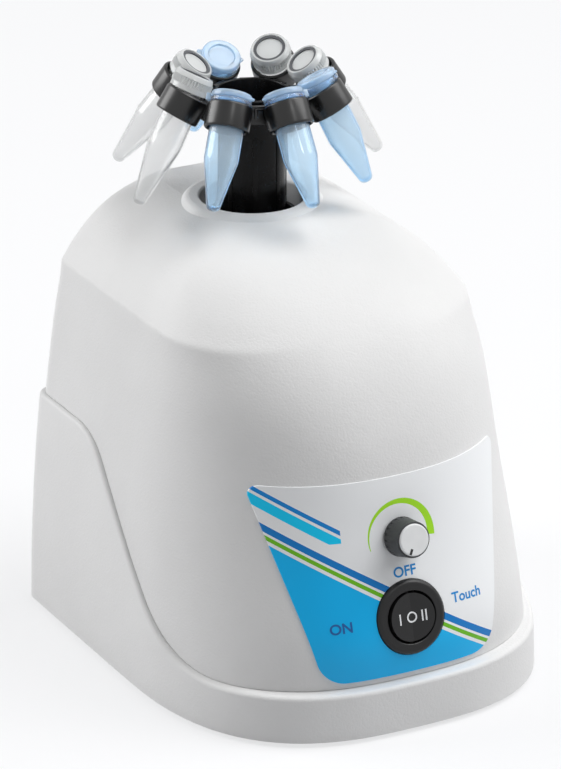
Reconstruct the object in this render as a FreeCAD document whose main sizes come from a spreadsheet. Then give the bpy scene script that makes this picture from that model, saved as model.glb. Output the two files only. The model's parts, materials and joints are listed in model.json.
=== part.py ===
# Bench vortex mixer with an eight-place tube holder.
# Frame: millimetres, +Z up, the front with the controls faces -Y, and the origin is on the table
# under the middle of the base. The head axis stands behind the middle of the base.
import FreeCAD, Part
import math
import os
import re

import Sketcher
from FreeCAD import Placement, Rotation, Vector

os.makedirs("parts", exist_ok=True)
doc = FreeCAD.newDocument("vortex_mixer")

# Driving dimensions: alias, value in millimetres or degrees, and what it is.
SIZES = [
    ("foot_gap", 1.5, "table to the lower edge of the base"),
    ("head_y", 32.28, "head axis behind the middle of the whole object"),
    ("ridge_height", 136.4, "top of the dome above the table"),
    ("nose_radius", 76.0, "radius of the dome's front profile"),
    ("nose_forward", 16.0, "centre of the front profile ahead of the head axis"),
    ("panel_tilt", 14.0, "lean of the control panel"),
    ("section_forward", 33.2, "widest line of the housing sections ahead of the head axis"),
    ("wall_half", 62.6, "half width of the side walls at the base"),
    ("crease_half", 51.1, "half width where the side walls meet the dome"),
    ("crease_height", 114.0, "height of the crease between side walls and dome"),
    ("rear_face", 35.4, "flat rear of the housing behind the head axis"),
    ("rear_round", 7.0, "rounding of the upright rear edges"),
    ("shell", 3.0, "wall of the moulded housing"),
    ("proud_low", 1.0, "base skirt stands out from the housing at its foot"),
    ("proud_high", 1.45, "base skirt stands out from the housing at the rear wings"),
    ("skirt_front", 107.7, "front of the skirt ahead of the head axis"),
    ("skirt_draft", 3.2, "lean of the skirt's front"),
    ("step_low", 16.3, "top of the skirt along the front"),
    ("step_high", 71.0, "top of the skirt along the rear wings"),
    ("step_slope", 44.0, "steepest slope of the skirt's edge"),
    ("step_turn", 6.0, "wing begins to fall here, behind the head axis"),
    ("step_crest", 26.0, "radius at the top of the fall"),
    ("step_valley", 52.7, "radius at the foot of the fall"),
    ("step_seam", 0.15, "seam between housing and base"),
    ("step_round", 1.3, "rounded top edge of the skirt"),
    ("floor_low", 5.0, "underside of the base floor"),
    ("floor_high", 8.0, "top of the base floor"),
    ("collar_top", 137.2, "top of the collar round the head hole"),
    ("collar_radius", 23.0, "outer radius of the collar"),
    ("collar_bottom", 127.0, "lower end of the collar tube"),
    ("hole_radius", 16.3, "head hole"),
    ("crank", 2.0, "eccentric throw of the head"),
    ("crank_angle", 62.0, "direction of the throw at rest"),
    ("post_radius", 10.4, "post of the cup head"),
    ("cup_radius", 11.7, "outside of the cup"),
    ("cup_rim", 170.7, "height of the cup's rim"),
    ("loop_radius", 24.0, "tube loops from the head axis"),
    ("loop_height", 169.6, "middle of the tube loops"),
    ("loop_tilt", 33.7, "lean of the tube loops"),
    ("loop_outer", 7.0, "outside radius of a loop"),
    ("loop_bore", 5.9, "bore of a loop"),
    ("loop_half", 4.0, "half length of a loop"),
    ("tube_radius", 5.3, "outside radius of a tube"),
    ("tube_skin", 0.9, "wall of a tube"),
    ("tube_taper", 13.5, "cone of a tube starts this far below the loop middle"),
    ("snap_tip", 29.2, "tip of a snap-cap tube below the loop middle"),
    ("screw_tip", 33.2, "tip of a screw-cap tube below the loop middle"),
    ("tip_radius", 1.9, "radius of the tip"),
    ("rim_radius", 6.4, "rim of a snap-cap tube"),
    ("cap_radius", 6.4, "screw cap"),
    ("cap_low", 4.9, "lower edge of a screw cap above the loop middle"),
    ("cap_top", 10.4, "top of a screw cap above the loop middle"),
    ("overlay", 0.4, "thickness of the front label"),
    ("label_top", 77.3, "upper edge of the label"),
    ("label_low", 18.2, "lower edge of the label"),
    ("label_half_top", 42.6, "half width of the label at its upper edge"),
    ("label_half_low", 28.6, "half width of the label at its lower edge"),
    ("knob_height", 59.2, "knob axis on the panel"),
    ("switch_height", 35.2, "switch axis on the panel"),
    ("knob_radius", 6.1, "knob at its foot"),
    ("bezel_radius", 11.5, "bezel of the switch"),
    ("rocker_radius", 7.4, "rocker of the switch"),
    ("inlet_low", 16.6, "underside of the mains inlet"),
    ("inlet_high", 45.0, "top of the mains inlet"),
    ("ballast_top", 15.0, "top of the ballast plate"),
    ("plate_low", 48.0, "underside of the motor plate"),
    ("plate_high", 51.0, "top of the motor plate"),
    ("motor_radius", 25.0, "outside of the motor"),
    ("shaft_radius", 3.0, "motor shaft"),
    ("foot_radius", 9.0, "rubber foot"),
]
ALIASES = {alias for alias, value, note in SIZES}

sheet = doc.addObject("Spreadsheet::Sheet", "Sizes")
for row, (alias, value, note) in enumerate(SIZES, start=1):
    sheet.set("A%d" % row, note)
    sheet.set("B%d" % row, str(value))
    sheet.setAlias("B%d" % row, alias)
doc.recompute()

nodes = []


# Small helpers

def size(alias):
    """A driving dimension read from the sheet."""
    return float(sheet.get(alias))


def formula(text):
    """Write the sheet's name in front of every alias in an expression."""
    def qualify(match):
        word = match.group(0)
        return "Sizes." + word if word in ALIASES else word
    return re.sub(r"[a-z_]+[a-z_0-9]*", qualify, str(text))


def bind(thing, prop, text):
    """Tie one property to an expression in sheet sizes."""
    thing.setExpression(prop, formula(text))


def value_of(text):
    """The number that an expression in sheet sizes has now."""
    probe = doc.getObject("Probe") or doc.addObject("Part::Box", "Probe")
    probe.setExpression("Placement.Base.x", formula(text))
    probe.recompute()
    return probe.Placement.Base.x


def node(thing, label):
    """Mark a finished piece: its label names its file."""
    thing.Label = label
    nodes.append(thing)
    return thing


def at(x, y, z):
    """A placement at a point."""
    return Placement(Vector(x, y, z), Rotation())


def cylinder(name, radius, height, place):
    made = doc.addObject("Part::Cylinder", name)
    bind(made, "Radius", radius)
    bind(made, "Height", height)
    made.Placement = place
    return made


def box(name, length, width, height, place):
    """A box centred in X and Y on its place, standing on it in Z."""
    made = doc.addObject("Part::Box", name)
    bind(made, "Length", length)
    bind(made, "Width", width)
    bind(made, "Height", height)
    made.Placement = place.multiply(at(-value_of(length) / 2, -value_of(width) / 2, 0))
    return made


def fuse(name, pieces):
    made = doc.addObject("Part::MultiFuse", name)
    made.Shapes = pieces
    return made


def cut(name, base, tools):
    made = doc.addObject("Part::Cut", name)
    made.Base = base
    made.Tool = tools[0] if len(tools) == 1 else fuse(name + "_tools", tools)
    return made


def common(name, pieces):
    made = doc.addObject("Part::MultiCommon", name)
    made.Shapes = pieces
    return made


def group(name, pieces):
    """Identical pieces kept as separate solids in one node."""
    made = doc.addObject("Part::Compound", name)
    made.Links = pieces
    return made


def feature(name, shape, place=None):
    """A shape that no primitive or sketch feature makes."""
    made = doc.addObject("Part::Feature", name)
    made.Shape = shape
    if place:
        made.Placement = place
    return made


def origin_plane(body, role):
    return [item for item in body.Origin.OriginFeatures if item.Role == role][0]


def polygon_sketch(body, name, role, corners):
    """A closed sketch whose every corner is held by sheet expressions (across, up)."""
    sketch = body.newObject("Sketcher::SketchObject", name)
    sketch.AttachmentSupport = [(origin_plane(body, role), "")]
    sketch.MapMode = "FlatFace"
    points = [Vector(value_of(across), value_of(up), 0) for across, up in corners]
    count = len(points)
    for index in range(count):
        sketch.addGeometry(Part.LineSegment(points[index], points[(index + 1) % count]))
    for index in range(count):
        sketch.addConstraint(Sketcher.Constraint("Coincident", index, 2, (index + 1) % count, 1))
    for index, (across, up) in enumerate(corners):
        hold(sketch, "DistanceX", index, points[index].x, across)
        hold(sketch, "DistanceY", index, points[index].y, up)
    return sketch


def hold(sketch, kind, index, number, text):
    """Dimension one corner from the sketch origin, or pin it to the axis where the size is zero."""
    if abs(number) < 1e-9:
        axis = -2 if kind == "DistanceX" else -1
        sketch.addConstraint(Sketcher.Constraint("PointOnObject", index, 1, axis))
        return
    which = sketch.addConstraint(Sketcher.Constraint(kind, -1, 1, index, 1, number))
    sketch.setExpression("Constraints[%d]" % which, formula(text))


def rings(shape, places):
    """Names of the round edges of a turned solid at the given radii and heights."""
    names = []
    for number, edge in enumerate(shape.Edges, start=1):
        if not isinstance(edge.Curve, Part.Circle):
            continue
        for radius, height in places:
            same_size = abs(edge.Curve.Radius - radius) < 1e-3
            if same_size and abs(edge.Curve.Center.z - height) < 1e-3:
                names.append("Edge%d" % number)
    return names


def turned(name, profile, place, rounds=()):
    """A solid of revolution about its own Z axis; rounds are (corner number, radius)."""
    body = doc.addObject("PartDesign::Body", name)
    sketch = polygon_sketch(body, name + "_profile", "XZ_Plane", profile)
    turn = body.newObject("PartDesign::Revolution", name + "_turn")
    turn.Profile = sketch
    turn.ReferenceAxis = (sketch, ["V_Axis"])
    turn.Angle = 360.0
    doc.recompute([sketch, turn])
    base = turn
    for order, (corner, radius) in enumerate(rounds):
        across, up = profile[corner]
        place_of_edge = (value_of(across), value_of(up))
        fillet = body.newObject("PartDesign::Fillet", "%s_round%d" % (name, order))
        fillet.Base = (base, rings(base.Shape, [place_of_edge]))
        fillet.Radius = radius
        doc.recompute([fillet])
        base = fillet
    body.Placement = place
    return body


def padded(name, role, corners, length, place, both_sides=True):
    """A sketched outline given a thickness, equally to both sides or to one."""
    body = doc.addObject("PartDesign::Body", name)
    sketch = polygon_sketch(body, name + "_outline", role, corners)
    pad = body.newObject("PartDesign::Pad", name + "_pad")
    pad.Profile = sketch
    bind(pad, "Length", length)
    pad.Midplane = both_sides
    body.Placement = place
    return body


# Frames that the pieces are placed in

HEAD_AXIS = at(0, size("head_y"), 0)
throw = math.radians(size("crank_angle"))
CRANK_AXIS = at(size("crank") * math.cos(throw), size("head_y") + size("crank") * math.sin(throw), 0)
REAR = size("head_y") + size("rear_face") + size("proud_low")


def from_head(x, forward, z):
    """A placement given by the distance ahead of the head axis."""
    return at(x, size("head_y") - forward, z)


def panel_frame(height):
    """Frame on the panel at a height: Z points out of the panel and Y up along it."""
    lean = Rotation(Vector(1, 0, 0), 90 - size("panel_tilt"))
    return Placement(Vector(0, size("head_y") + front_reach(height, 0), height), lean)


# Housing outline: horizontal sections with a rounded front, straight sides and a flat rear.
# The side walls bow inwards up to a crease, and the dome closes above it.

FRONT_POINTS = 25
WALL_STEPS = [0, 0.2, 0.4, 0.6, 0.74, 0.87, 0.987]
DOME_STEPS = [0, 0.06, 0.2, 0.4, 0.58, 0.73, 0.85, 0.93, 0.98]
POWER_BASE = 2.63
POWER_PANEL = 2.22
POWER_CREASE = 2.54
POWER_RIDGE = 1.85
NOSE_SHARE = 0.35
NOSE_EASE = 5.0


def blend(start, end, part):
    return start + (end - start) * part


def front_reach(height, offset):
    """Front of the housing, from the head axis: a leaning panel that runs into a round nose."""
    radius = size("nose_radius") + offset
    middle = size("ridge_height") - size("nose_radius")
    lean = math.radians(size("panel_tilt"))
    tangent = middle + radius * math.sin(lean)
    if height > tangent:
        return -size("nose_forward") - math.sqrt(max(radius ** 2 - (height - middle) ** 2, 0))
    below = (tangent - height) * math.tan(lean)
    return -size("nose_forward") - radius * math.cos(lean) - below


def wall_half_width(height):
    """Half width of the bowed side walls."""
    rise = (height - size("foot_gap")) / (size("crease_height") - size("foot_gap"))
    return blend(size("wall_half"), size("crease_half"), 0.21 * rise + 0.79 * rise ** 2)


def wall_section(height, offset):
    """Half width, front reach, rear reach and squareness below the crease."""
    panel_top = 0.67 * size("crease_height")
    if height < panel_top:
        power = blend(POWER_BASE, POWER_PANEL, (height - size("foot_gap")) / (panel_top - size("foot_gap")))
    else:
        power = blend(POWER_PANEL, POWER_CREASE, (height - panel_top) / (size("crease_height") - panel_top))
    half = wall_half_width(height) + offset
    return half, front_reach(height, offset), size("rear_face") + offset, power


def dome_section(height, offset):
    """The same above the crease, where the dome closes towards its ridge."""
    crease = size("crease_height")
    closed = (height - crease) / (size("ridge_height") + offset - crease)
    half = (size("crease_half") + offset) * (1 - closed) ** 0.274
    power = blend(POWER_CREASE, POWER_RIDGE, closed)
    return half, front_reach(height, offset), size("rear_face") + offset, power


def skirt_section(height, offset):
    """The same for the base skirt, whose front stands nearly upright."""
    rise = (height - size("foot_gap")) / (size("step_high") - size("foot_gap"))
    half = wall_half_width(height) + blend(size("proud_low"), size("proud_high"), rise) + offset
    drawn = (height - size("foot_gap")) * math.tan(math.radians(size("skirt_draft")))
    return half, drawn - size("skirt_front") - offset, size("rear_face") + size("proud_low") + offset, 2.75


def widest_line(half, reach):
    """Where a section is widest, from the head axis: it eases back where the nose closes in."""
    usual = -size("section_forward")
    least = reach + NOSE_SHARE * half
    return (usual + least) / 2 + math.hypot((usual - least) / 2, NOSE_EASE)


def section_wire(section, height, offset):
    """One closed outline: rounded front, two sides, two rear corners and the rear."""
    half, reach, rear, power = section(height, offset)
    middle = widest_line(half, reach)
    corner = min(size("rear_round") + offset, 0.6 * half)

    def point(x, y):
        return Vector(x, y + size("head_y"), height)

    front_points = []
    for step in range(FRONT_POINTS):
        angle = math.pi * (1 + step / (FRONT_POINTS - 1))
        across = math.cos(angle)
        x = half * math.copysign(abs(across) ** (2 / power), across)
        front_points.append(point(x, middle + (reach - middle) * abs(math.sin(angle)) ** (2 / power)))
    front_points[0] = point(-half, middle)
    front_points[-1] = point(half, middle)
    stride = front_points[0].distanceToPoint(front_points[1])
    front = Part.BSplineCurve()
    front.interpolate(Points=front_points, Parameters=[float(step) for step in range(FRONT_POINTS)],
                      InitialTangent=Vector(0, -stride, 0), FinalTangent=Vector(0, stride, 0), Scale=False)
    inset = corner * (1 - math.sqrt(0.5))
    edges = [
        front.toShape(),
        Part.LineSegment(point(half, middle), point(half, rear - corner)).toShape(),
        Part.Arc(point(half, rear - corner), point(half - inset, rear - inset),
                 point(half - corner, rear)).toShape(),
        Part.LineSegment(point(half - corner, rear), point(corner - half, rear)).toShape(),
        Part.Arc(point(corner - half, rear), point(inset - half, rear - inset),
                 point(-half, rear - corner)).toShape(),
        Part.LineSegment(point(-half, rear - corner), point(-half, middle)).toShape(),
    ]
    return Part.Wire(edges)


def lofted(section, heights, offset):
    """A solid through the outlines at the given heights."""
    return Part.makeLoft([section_wire(section, height, offset) for height in heights], True, False)


def steps_between(low, high, steps):
    return [blend(low, high, step) for step in steps]


def housing_section(height, offset):
    section = wall_section if height < size("crease_height") else dome_section
    return section(height, offset)


def outline_solid(offset):
    """The whole housing outline, moved out or in by an offset."""
    crease = size("crease_height")
    heights = steps_between(size("foot_gap"), crease, WALL_STEPS)
    heights += steps_between(crease, size("ridge_height") + offset, DOME_STEPS)
    return lofted(housing_section, heights, offset)


def above_step(lift):
    """Everything above the skirt's edge: low along the front, swept up to the rear wings."""
    low = size("step_low") + lift
    high = size("step_high") + lift
    slope = math.radians(size("step_slope"))
    crest = size("step_crest")
    valley = size("step_valley")
    turn = size("step_turn")
    drop = crest * (1 - math.cos(slope))
    rise = valley * (1 - math.cos(slope))
    run = (high - drop - low - rise) / math.tan(slope)
    crest_start = turn
    crest_end = crest_start - crest * math.sin(slope)
    valley_start = crest_end - run
    valley_end = valley_start - valley * math.sin(slope)

    def point(y, z):
        return Vector(0, y + size("head_y"), z)

    half = slope / 2
    crest_middle = point(crest_start - crest * math.sin(half), high - crest * (1 - math.cos(half)))
    valley_middle = point(valley_end + valley * math.sin(half), low + valley * (1 - math.cos(half)))
    reach = 150
    top = 220
    edges = [
        Part.LineSegment(point(reach, high), point(crest_start, high)).toShape(),
        Part.Arc(point(crest_start, high), crest_middle, point(crest_end, high - drop)).toShape(),
        Part.LineSegment(point(crest_end, high - drop), point(valley_start, low + rise)).toShape(),
        Part.Arc(point(valley_start, low + rise), valley_middle, point(valley_end, low)).toShape(),
        Part.LineSegment(point(valley_end, low), point(-reach, low)).toShape(),
        Part.LineSegment(point(-reach, low), point(-reach, top)).toShape(),
        Part.LineSegment(point(-reach, top), point(reach, top)).toShape(),
        Part.LineSegment(point(reach, top), point(reach, high)).toShape(),
    ]
    slab = Part.Face(Part.Wire(edges)).extrude(Vector(200, 0, 0))
    slab.translate(Vector(-100, 0, 0))
    return slab


def screw(name, shank, length, head, head_height, place):
    """A pan-head screw that points up, its head's seat at its own origin."""
    profile = [("0", "-%g" % head_height), (head, "-%g" % head_height), (head, 0), (shank, 0),
               (shank, length), ("0", length)]
    return turned(name, profile, place)


# Upper housing

SCREW_SPOTS = [(46, -22), (-46, -22), (38, 64), (-38, 64)]
BOSS_JOINT = 30.0

whole_outside = feature("whole_outside", outline_solid(0))
whole_inside = feature("whole_inside", outline_solid(-size("shell")))
wall_middle = feature("wall_middle", outline_solid(-size("shell") / 2))
over_step = feature("over_step", above_step(0))

housing_block = common("housing_block", [whole_outside, over_step])
housing_skin = cut("housing_skin", housing_block, [whole_inside])

collar = turned("collar", [
    ("hole_radius", "collar_bottom"), ("hole_radius + 3", "collar_bottom"),
    ("hole_radius + 3", "collar_top - 6"), ("collar_radius", "collar_top - 5"),
    ("collar_radius", "collar_top - 2.6"), ("collar_radius - 2.6", "collar_top"),
    ("hole_radius", "collar_top")], HEAD_AXIS, rounds=[(4, 2.0), (5, 2.4), (6, 0.8)])
hole_tool = cylinder("hole_tool", "hole_radius", "30", HEAD_AXIS.multiply(at(0, 0, 115)))

housing_bosses = []
boss_bores = []
for number, (x, forward) in enumerate(SCREW_SPOTS):
    spot = from_head(x, forward, BOSS_JOINT + 0.1)
    housing_bosses.append(cylinder("housing_boss%d" % number, "4.5", "90", spot))
    boss_bores.append(cylinder("boss_bore%d" % number, "1.55", "16", spot))
bosses_in_wall = common("bosses_in_wall", [fuse("housing_bosses", housing_bosses), wall_middle])

KNOB = panel_frame(size("knob_height"))
SWITCH = panel_frame(size("switch_height"))
knob_hole = cylinder("knob_hole", "3.1", "12", KNOB.multiply(at(0, 0, -8)))
switch_hole = cylinder("switch_hole", "bezel_radius - 1.4", "12", SWITCH.multiply(at(0, 0, -8)))
switch_seat = cylinder("switch_seat", "bezel_radius + 0.15", "6", SWITCH.multiply(at(0, 0, -1)))

housing_whole = fuse("housing_whole", [housing_skin, bosses_in_wall])
housing_tools = [hole_tool] + boss_bores + [knob_hole, switch_hole, switch_seat]
housing_open = cut("housing_open", housing_whole, housing_tools)
node(fuse("housing_finished", [housing_open, collar]), "upper_housing")

# Base pan

skirt_heights = steps_between(size("foot_gap"), size("step_high") + 5, [0, 0.2, 0.4, 0.6, 0.8, 1])
skirt_outer = feature("skirt_outer", lofted(skirt_section, skirt_heights, 0))
skirt_inner = feature("skirt_inner", lofted(skirt_section, skirt_heights, -size("shell")))
over_seam = feature("over_seam", above_step(-size("step_seam")))
skirt_block = cut("skirt_block", skirt_outer, [over_seam])
doc.recompute()


def skirt_rim(shape):
    """Outer top edges of the skirt, without the smooth joins that run across it."""
    edges = []
    for number, edge in enumerate(shape.Edges, start=1):
        extent = edge.BoundBox
        across = extent.XLength > 20 and extent.YLength < 0.1 and extent.YMax < REAR - 1
        if extent.ZMin > size("step_low") - 1 and not across:
            edges.append((number, size("step_round"), size("step_round")))
    return edges


skirt_rounded = doc.addObject("Part::Fillet", "skirt_rounded")
skirt_rounded.Base = skirt_block
skirt_rounded.Edges = skirt_rim(skirt_block.Shape)
doc.recompute()

high_room = box("high_room", "300", "300", "200", at(0, 0, size("floor_high")))
low_room = box("low_room", "300", "300", "floor_low - foot_gap + 1", at(0, 0, size("foot_gap") - 1))
pan_cavity = common("pan_cavity", [whole_inside, high_room])
under_cavity = common("under_cavity", [skirt_inner, low_room])
pan_bosses = []
pan_bores = []
for number, (x, forward) in enumerate(SCREW_SPOTS):
    spot = from_head(x, forward, size("floor_high") - 1)
    pan_bosses.append(cylinder("pan_boss%d" % number, "4.5", "%g - floor_high + 1" % BOSS_JOINT, spot))
    pan_bores.append(cylinder("pan_bore%d" % number, "1.7", "60", from_head(x, forward, 0)))

FOOT_SPOTS = [(45, -6), (-45, -6), (36, 84), (-36, 84)]
foot_bores = []
for number, (x, forward) in enumerate(FOOT_SPOTS):
    foot_bores.append(cylinder("foot_bore%d" % number, "3.1", "20", from_head(x, forward, 0)))

BOARD_SPOTS = [(22, 88), (-22, 88), (22, 56), (-22, 56)]
board_posts = []
board_bores = []
BOARD_LOW = 16.0
for number, (x, forward) in enumerate(BOARD_SPOTS):
    spot = from_head(x, forward, size("floor_high") - 1)
    board_posts.append(cylinder("board_post%d" % number, "3", "%g - floor_high + 1" % BOARD_LOW, spot))
    board_bores.append(cylinder("board_bore%d" % number, "1.1", "9", from_head(x, forward, 9)))

vents = []
for number in range(6):
    vents.append(box("vent%d" % number, "30", "3", "10", from_head(0, 58 + 6 * number, 2)))

inlet_hole = box("inlet_hole", "28.4", "20", "inlet_high - inlet_low + 0.4",
                 at(0, REAR, size("inlet_low") - 0.2))
inlet_screw_bores = []
INLET_SCREW_X = 20.0
INLET_MIDDLE = (size("inlet_low") + size("inlet_high")) / 2
OUT_OF_REAR = Rotation(Vector(1, 0, 0), -90)
for side in (-1, 1):
    spot = Placement(Vector(side * INLET_SCREW_X, REAR - 12, INLET_MIDDLE), OUT_OF_REAR)
    inlet_screw_bores.append(cylinder("inlet_screw_bore%d" % (side + 1), "1.25", "20", spot))

pan_hollow = cut("pan_hollow", skirt_rounded, [pan_cavity, under_cavity])
pan_whole = fuse("pan_whole", [pan_hollow] + pan_bosses + board_posts)
pan_tools = pan_bores + foot_bores + board_bores + vents + [inlet_hole] + inlet_screw_bores
node(cut("pan_finished", pan_whole, pan_tools), "base_pan")

# Feet and housing screws

for number, (x, forward) in enumerate(FOOT_SPOTS):
    foot = turned("foot_body%d" % number, [
        ("0", 0), ("foot_radius", 0),
        ("foot_radius - 2", "floor_low"), ("3", "floor_low"), ("3", "floor_high"), ("3.9", "floor_high"),
        ("2.4", "floor_high + 3"), ("0", "floor_high + 3")], from_head(x, forward, 0))
    side = "right" if x > 0 else "left"
    end = "front" if forward > 0 else "rear"
    node(foot, "foot_%s_%s" % (end, side))

housing_screws = []
for number, (x, forward) in enumerate(SCREW_SPOTS):
    spot = from_head(x, forward, size("floor_low"))
    housing_screws.append(screw("housing_screw%d" % number, 1.5, "36", 3.0, 2.0, spot))
node(group("housing_screw_group", housing_screws), "housing_screws")

# Front label, on the panel's own curved face

label_surface = feature("label_surface", outline_solid(size("overlay")))
label_prism = padded("label_prism", "XZ_Plane", [
    ("-label_half_low", "label_low"), ("label_half_low", "label_low"),
    ("label_half_top", "label_top"), ("-label_half_top", "label_top")], "60", at(0, -52, 0))
doc.recompute()


def upright_corners(shape, height):
    """Edges of the label's prism that run through the panel at a height."""
    names = []
    for number, edge in enumerate(shape.Edges, start=1):
        if edge.BoundBox.YLength > 10 and abs(edge.BoundBox.Center.z - height) < 1e-3:
            names.append("Edge%d" % number)
    return names


for height_alias, radius in (("label_top", 3.0), ("label_low", 9.0)):
    previous = label_prism.Tip
    corner_round = label_prism.newObject("PartDesign::Fillet", "corner_" + height_alias)
    corner_round.Base = (previous, upright_corners(previous.Shape, size(height_alias)))
    corner_round.Radius = radius
    label_prism.Tip = corner_round
    doc.recompute()

label_slab = common("label_slab", [label_surface, label_prism])
label_holes = [whole_outside, cylinder("label_knob_hole", "3.2", "12", KNOB.multiply(at(0, 0, -6))),
               cylinder("label_switch_hole", "bezel_radius + 0.15", "12", SWITCH.multiply(at(0, 0, -6)))]
node(cut("label_finished", label_slab, label_holes), "control_overlay")

# Speed control: potentiometer, nut, shaft, knob and its cap disc

node(turned("pot_body", [
    ("2.05", -11), ("0", -11), ("0", -12.1), ("8", -12.1), ("8", -3.9), ("3", -3.9), ("3", 2.5),
    ("2.05", 2.5)], KNOB), "potentiometer")
node(turned("pot_shaft_body", [("0", -10.9), ("2", -10.9), ("2", 6.9), ("0", 6.9)], KNOB), "pot_shaft")
hexagon = doc.addObject("Part::Prism", "pot_nut_block")
hexagon.Polygon = 6
hexagon.Circumradius = 4.4
hexagon.Height = 1.6
hexagon.Placement = KNOB.multiply(at(0, 0, 0.5))
nut_bore = cylinder("nut_bore", "3.05", "5", KNOB.multiply(at(0, 0, -1)))
node(cut("pot_nut_body", hexagon, [nut_bore]), "pot_nut")

knob_blank = turned("knob_blank", [
    ("4.75", 0.9), ("knob_radius", 0.9), ("knob_radius - 0.6", 8.3), ("4.95", 8.3), ("4.95", 7.6),
    ("0", 7.6), ("0", 7.0), ("2.02", 7.0), ("2.02", 2.9), ("4.75", 2.9)], KNOB, rounds=[(2, 0.3)])
KNOB_RIBS = 20
knob_grooves = []
for number in range(KNOB_RIBS):
    turn = Placement(Vector(0, 0, 0), Rotation(Vector(0, 0, 1), 360.0 * number / KNOB_RIBS))
    spot = KNOB.multiply(turn).multiply(at(size("knob_radius") + 0.25, 0, 1.6))
    knob_grooves.append(cylinder("knob_groove%d" % number, "0.55", "10", spot))
node(cut("knob_finished", knob_blank, knob_grooves), "speed_knob")
node(turned("knob_disc", [("0", 7.65), ("4.9", 7.65), ("4.9", 9.0), ("0", 9.0)], KNOB,
            rounds=[(2, 0.5)]), "knob_cap")

# Rocker switch: body with round bezel, rocker on a pivot, terminals

RECESS = "rocker_radius + 0.7"
switch_blank = turned("switch_blank", [
    ("0", -22), ("bezel_radius - 1.7", -22), ("bezel_radius - 1.7", -0.95), ("bezel_radius", -0.95),
    ("bezel_radius", 1.9), (RECESS, 1.9), (RECESS, -6), ("0", -6)], SWITCH, rounds=[(4, 1.4), (5, 0.4)])
ALONG_PIVOT = Rotation(Vector(1, 0, 0), -90)
PIVOT_DEPTH = -0.8
pivot_spot = SWITCH.multiply(Placement(Vector(0, -8.8, PIVOT_DEPTH), ALONG_PIVOT))
pivot_bore = cylinder("pivot_bore", "1.06", "17.6", pivot_spot)
terminal_slots = []
terminals = []
for number, x in enumerate((-5.0, 0.0, 5.0)):
    slot_spot = SWITCH.multiply(at(x, 0, -22.5))
    blade_spot = SWITCH.multiply(at(x, 0, -31))
    terminal_slots.append(box("terminal_slot%d" % number, "0.9", "6.4", "3.6", slot_spot))
    terminals.append(box("terminal%d" % number, "0.8", "6.3", "12", blade_spot))
node(cut("switch_finished", switch_blank, [pivot_bore] + terminal_slots), "switch_body")
node(group("terminal_group", terminals), "switch_terminals")

rocker_disc = cylinder("rocker_disc", "rocker_radius", "8", SWITCH.multiply(at(0, 0, -4)))
rocker_wave = padded("rocker_wave", "XZ_Plane", [
    ("-8", -3), ("8", -3), ("8", 2.7), ("0", 1.5), ("-8", 2.7)], "20", SWITCH)
rocker_block = common("rocker_block", [rocker_disc, rocker_wave])
pin_spot = SWITCH.multiply(Placement(Vector(0, -8.6, PIVOT_DEPTH), ALONG_PIVOT))
rocker_pin = cylinder("rocker_pin", "1", "17.2", pin_spot)
node(fuse("rocker_finished", [rocker_block, rocker_pin]), "rocker")

# Speed control board on the base floor

board_blank = box("board_blank", "52", "40", "1.6", from_head(0, 72, BOARD_LOW))
board_holes = []
board_screws = []
for number, (x, forward) in enumerate(BOARD_SPOTS):
    board_holes.append(cylinder("board_hole%d" % number, "1.2", "6", from_head(x, forward, BOARD_LOW - 2)))
    flip = Placement(Vector(0, 0, 0), Rotation(Vector(1, 0, 0), 180))
    spot = from_head(x, forward, BOARD_LOW + 1.6).multiply(flip)
    board_screws.append(screw("board_screw%d" % number, 1.05, "7", 2.2, 1.4, spot))
node(cut("board_finished", board_blank, board_holes), "control_board")
node(group("board_screw_group", board_screws), "board_screws")

BOARD_TOP = BOARD_LOW + 1.6
sink_parts = [box("sink_web", "2", "22", "20", from_head(-20, 70, BOARD_TOP))]
for number in range(5):
    forward = 60 + 5 * number
    sink_parts.append(box("sink_fin%d" % number, "8", "1.2", "20", from_head(-17, forward, BOARD_TOP)))
node(fuse("sink_finished", sink_parts), "heat_sink")
node(cylinder("capacitor_can", "5", "18", from_head(18, 68, BOARD_TOP)), "capacitor")

# Mains inlet, its pins, fuse drawer and screws

RECESS_LOW = 27.4
RECESS_HIGH = 43.6
DRAWER_LOW = 18.8
inlet_body = box("inlet_body", "28", "23.8", "inlet_high - inlet_low", at(0, REAR - 10.1, size("inlet_low")))
inlet_flange = box("inlet_flange", "50", "1.8", "32", at(0, REAR + 0.9, INLET_MIDDLE - 16))
socket_room = box("socket_room", "24.4", "16", "%g" % (RECESS_HIGH - RECESS_LOW),
                  at(0, REAR - 6.2, RECESS_LOW))
drawer_room = box("drawer_room", "22", "22", "6.4", at(0, REAR - 9.2, DRAWER_LOW))
drawer_face_room = box("drawer_face_room", "24.4", "3", "7.8", at(0, REAR + 2.2, DRAWER_LOW - 0.7))
PIN_PLACES = [(-7.0, 33.0), (7.0, 33.0), (0.0, 37.2)]
pins = []
pin_slots = []
for number, (x, z) in enumerate(PIN_PLACES):
    pins.append(box("pin%d" % number, "2", "26", "4", at(x, REAR - 15, z - 2)))
    pin_slots.append(box("pin_slot%d" % number, "2.1", "26", "4.1", at(x, REAR - 17, z - 2.05)))
flange_bores = []
inlet_screws = []
INTO_REAR = Rotation(Vector(1, 0, 0), 90)
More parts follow.
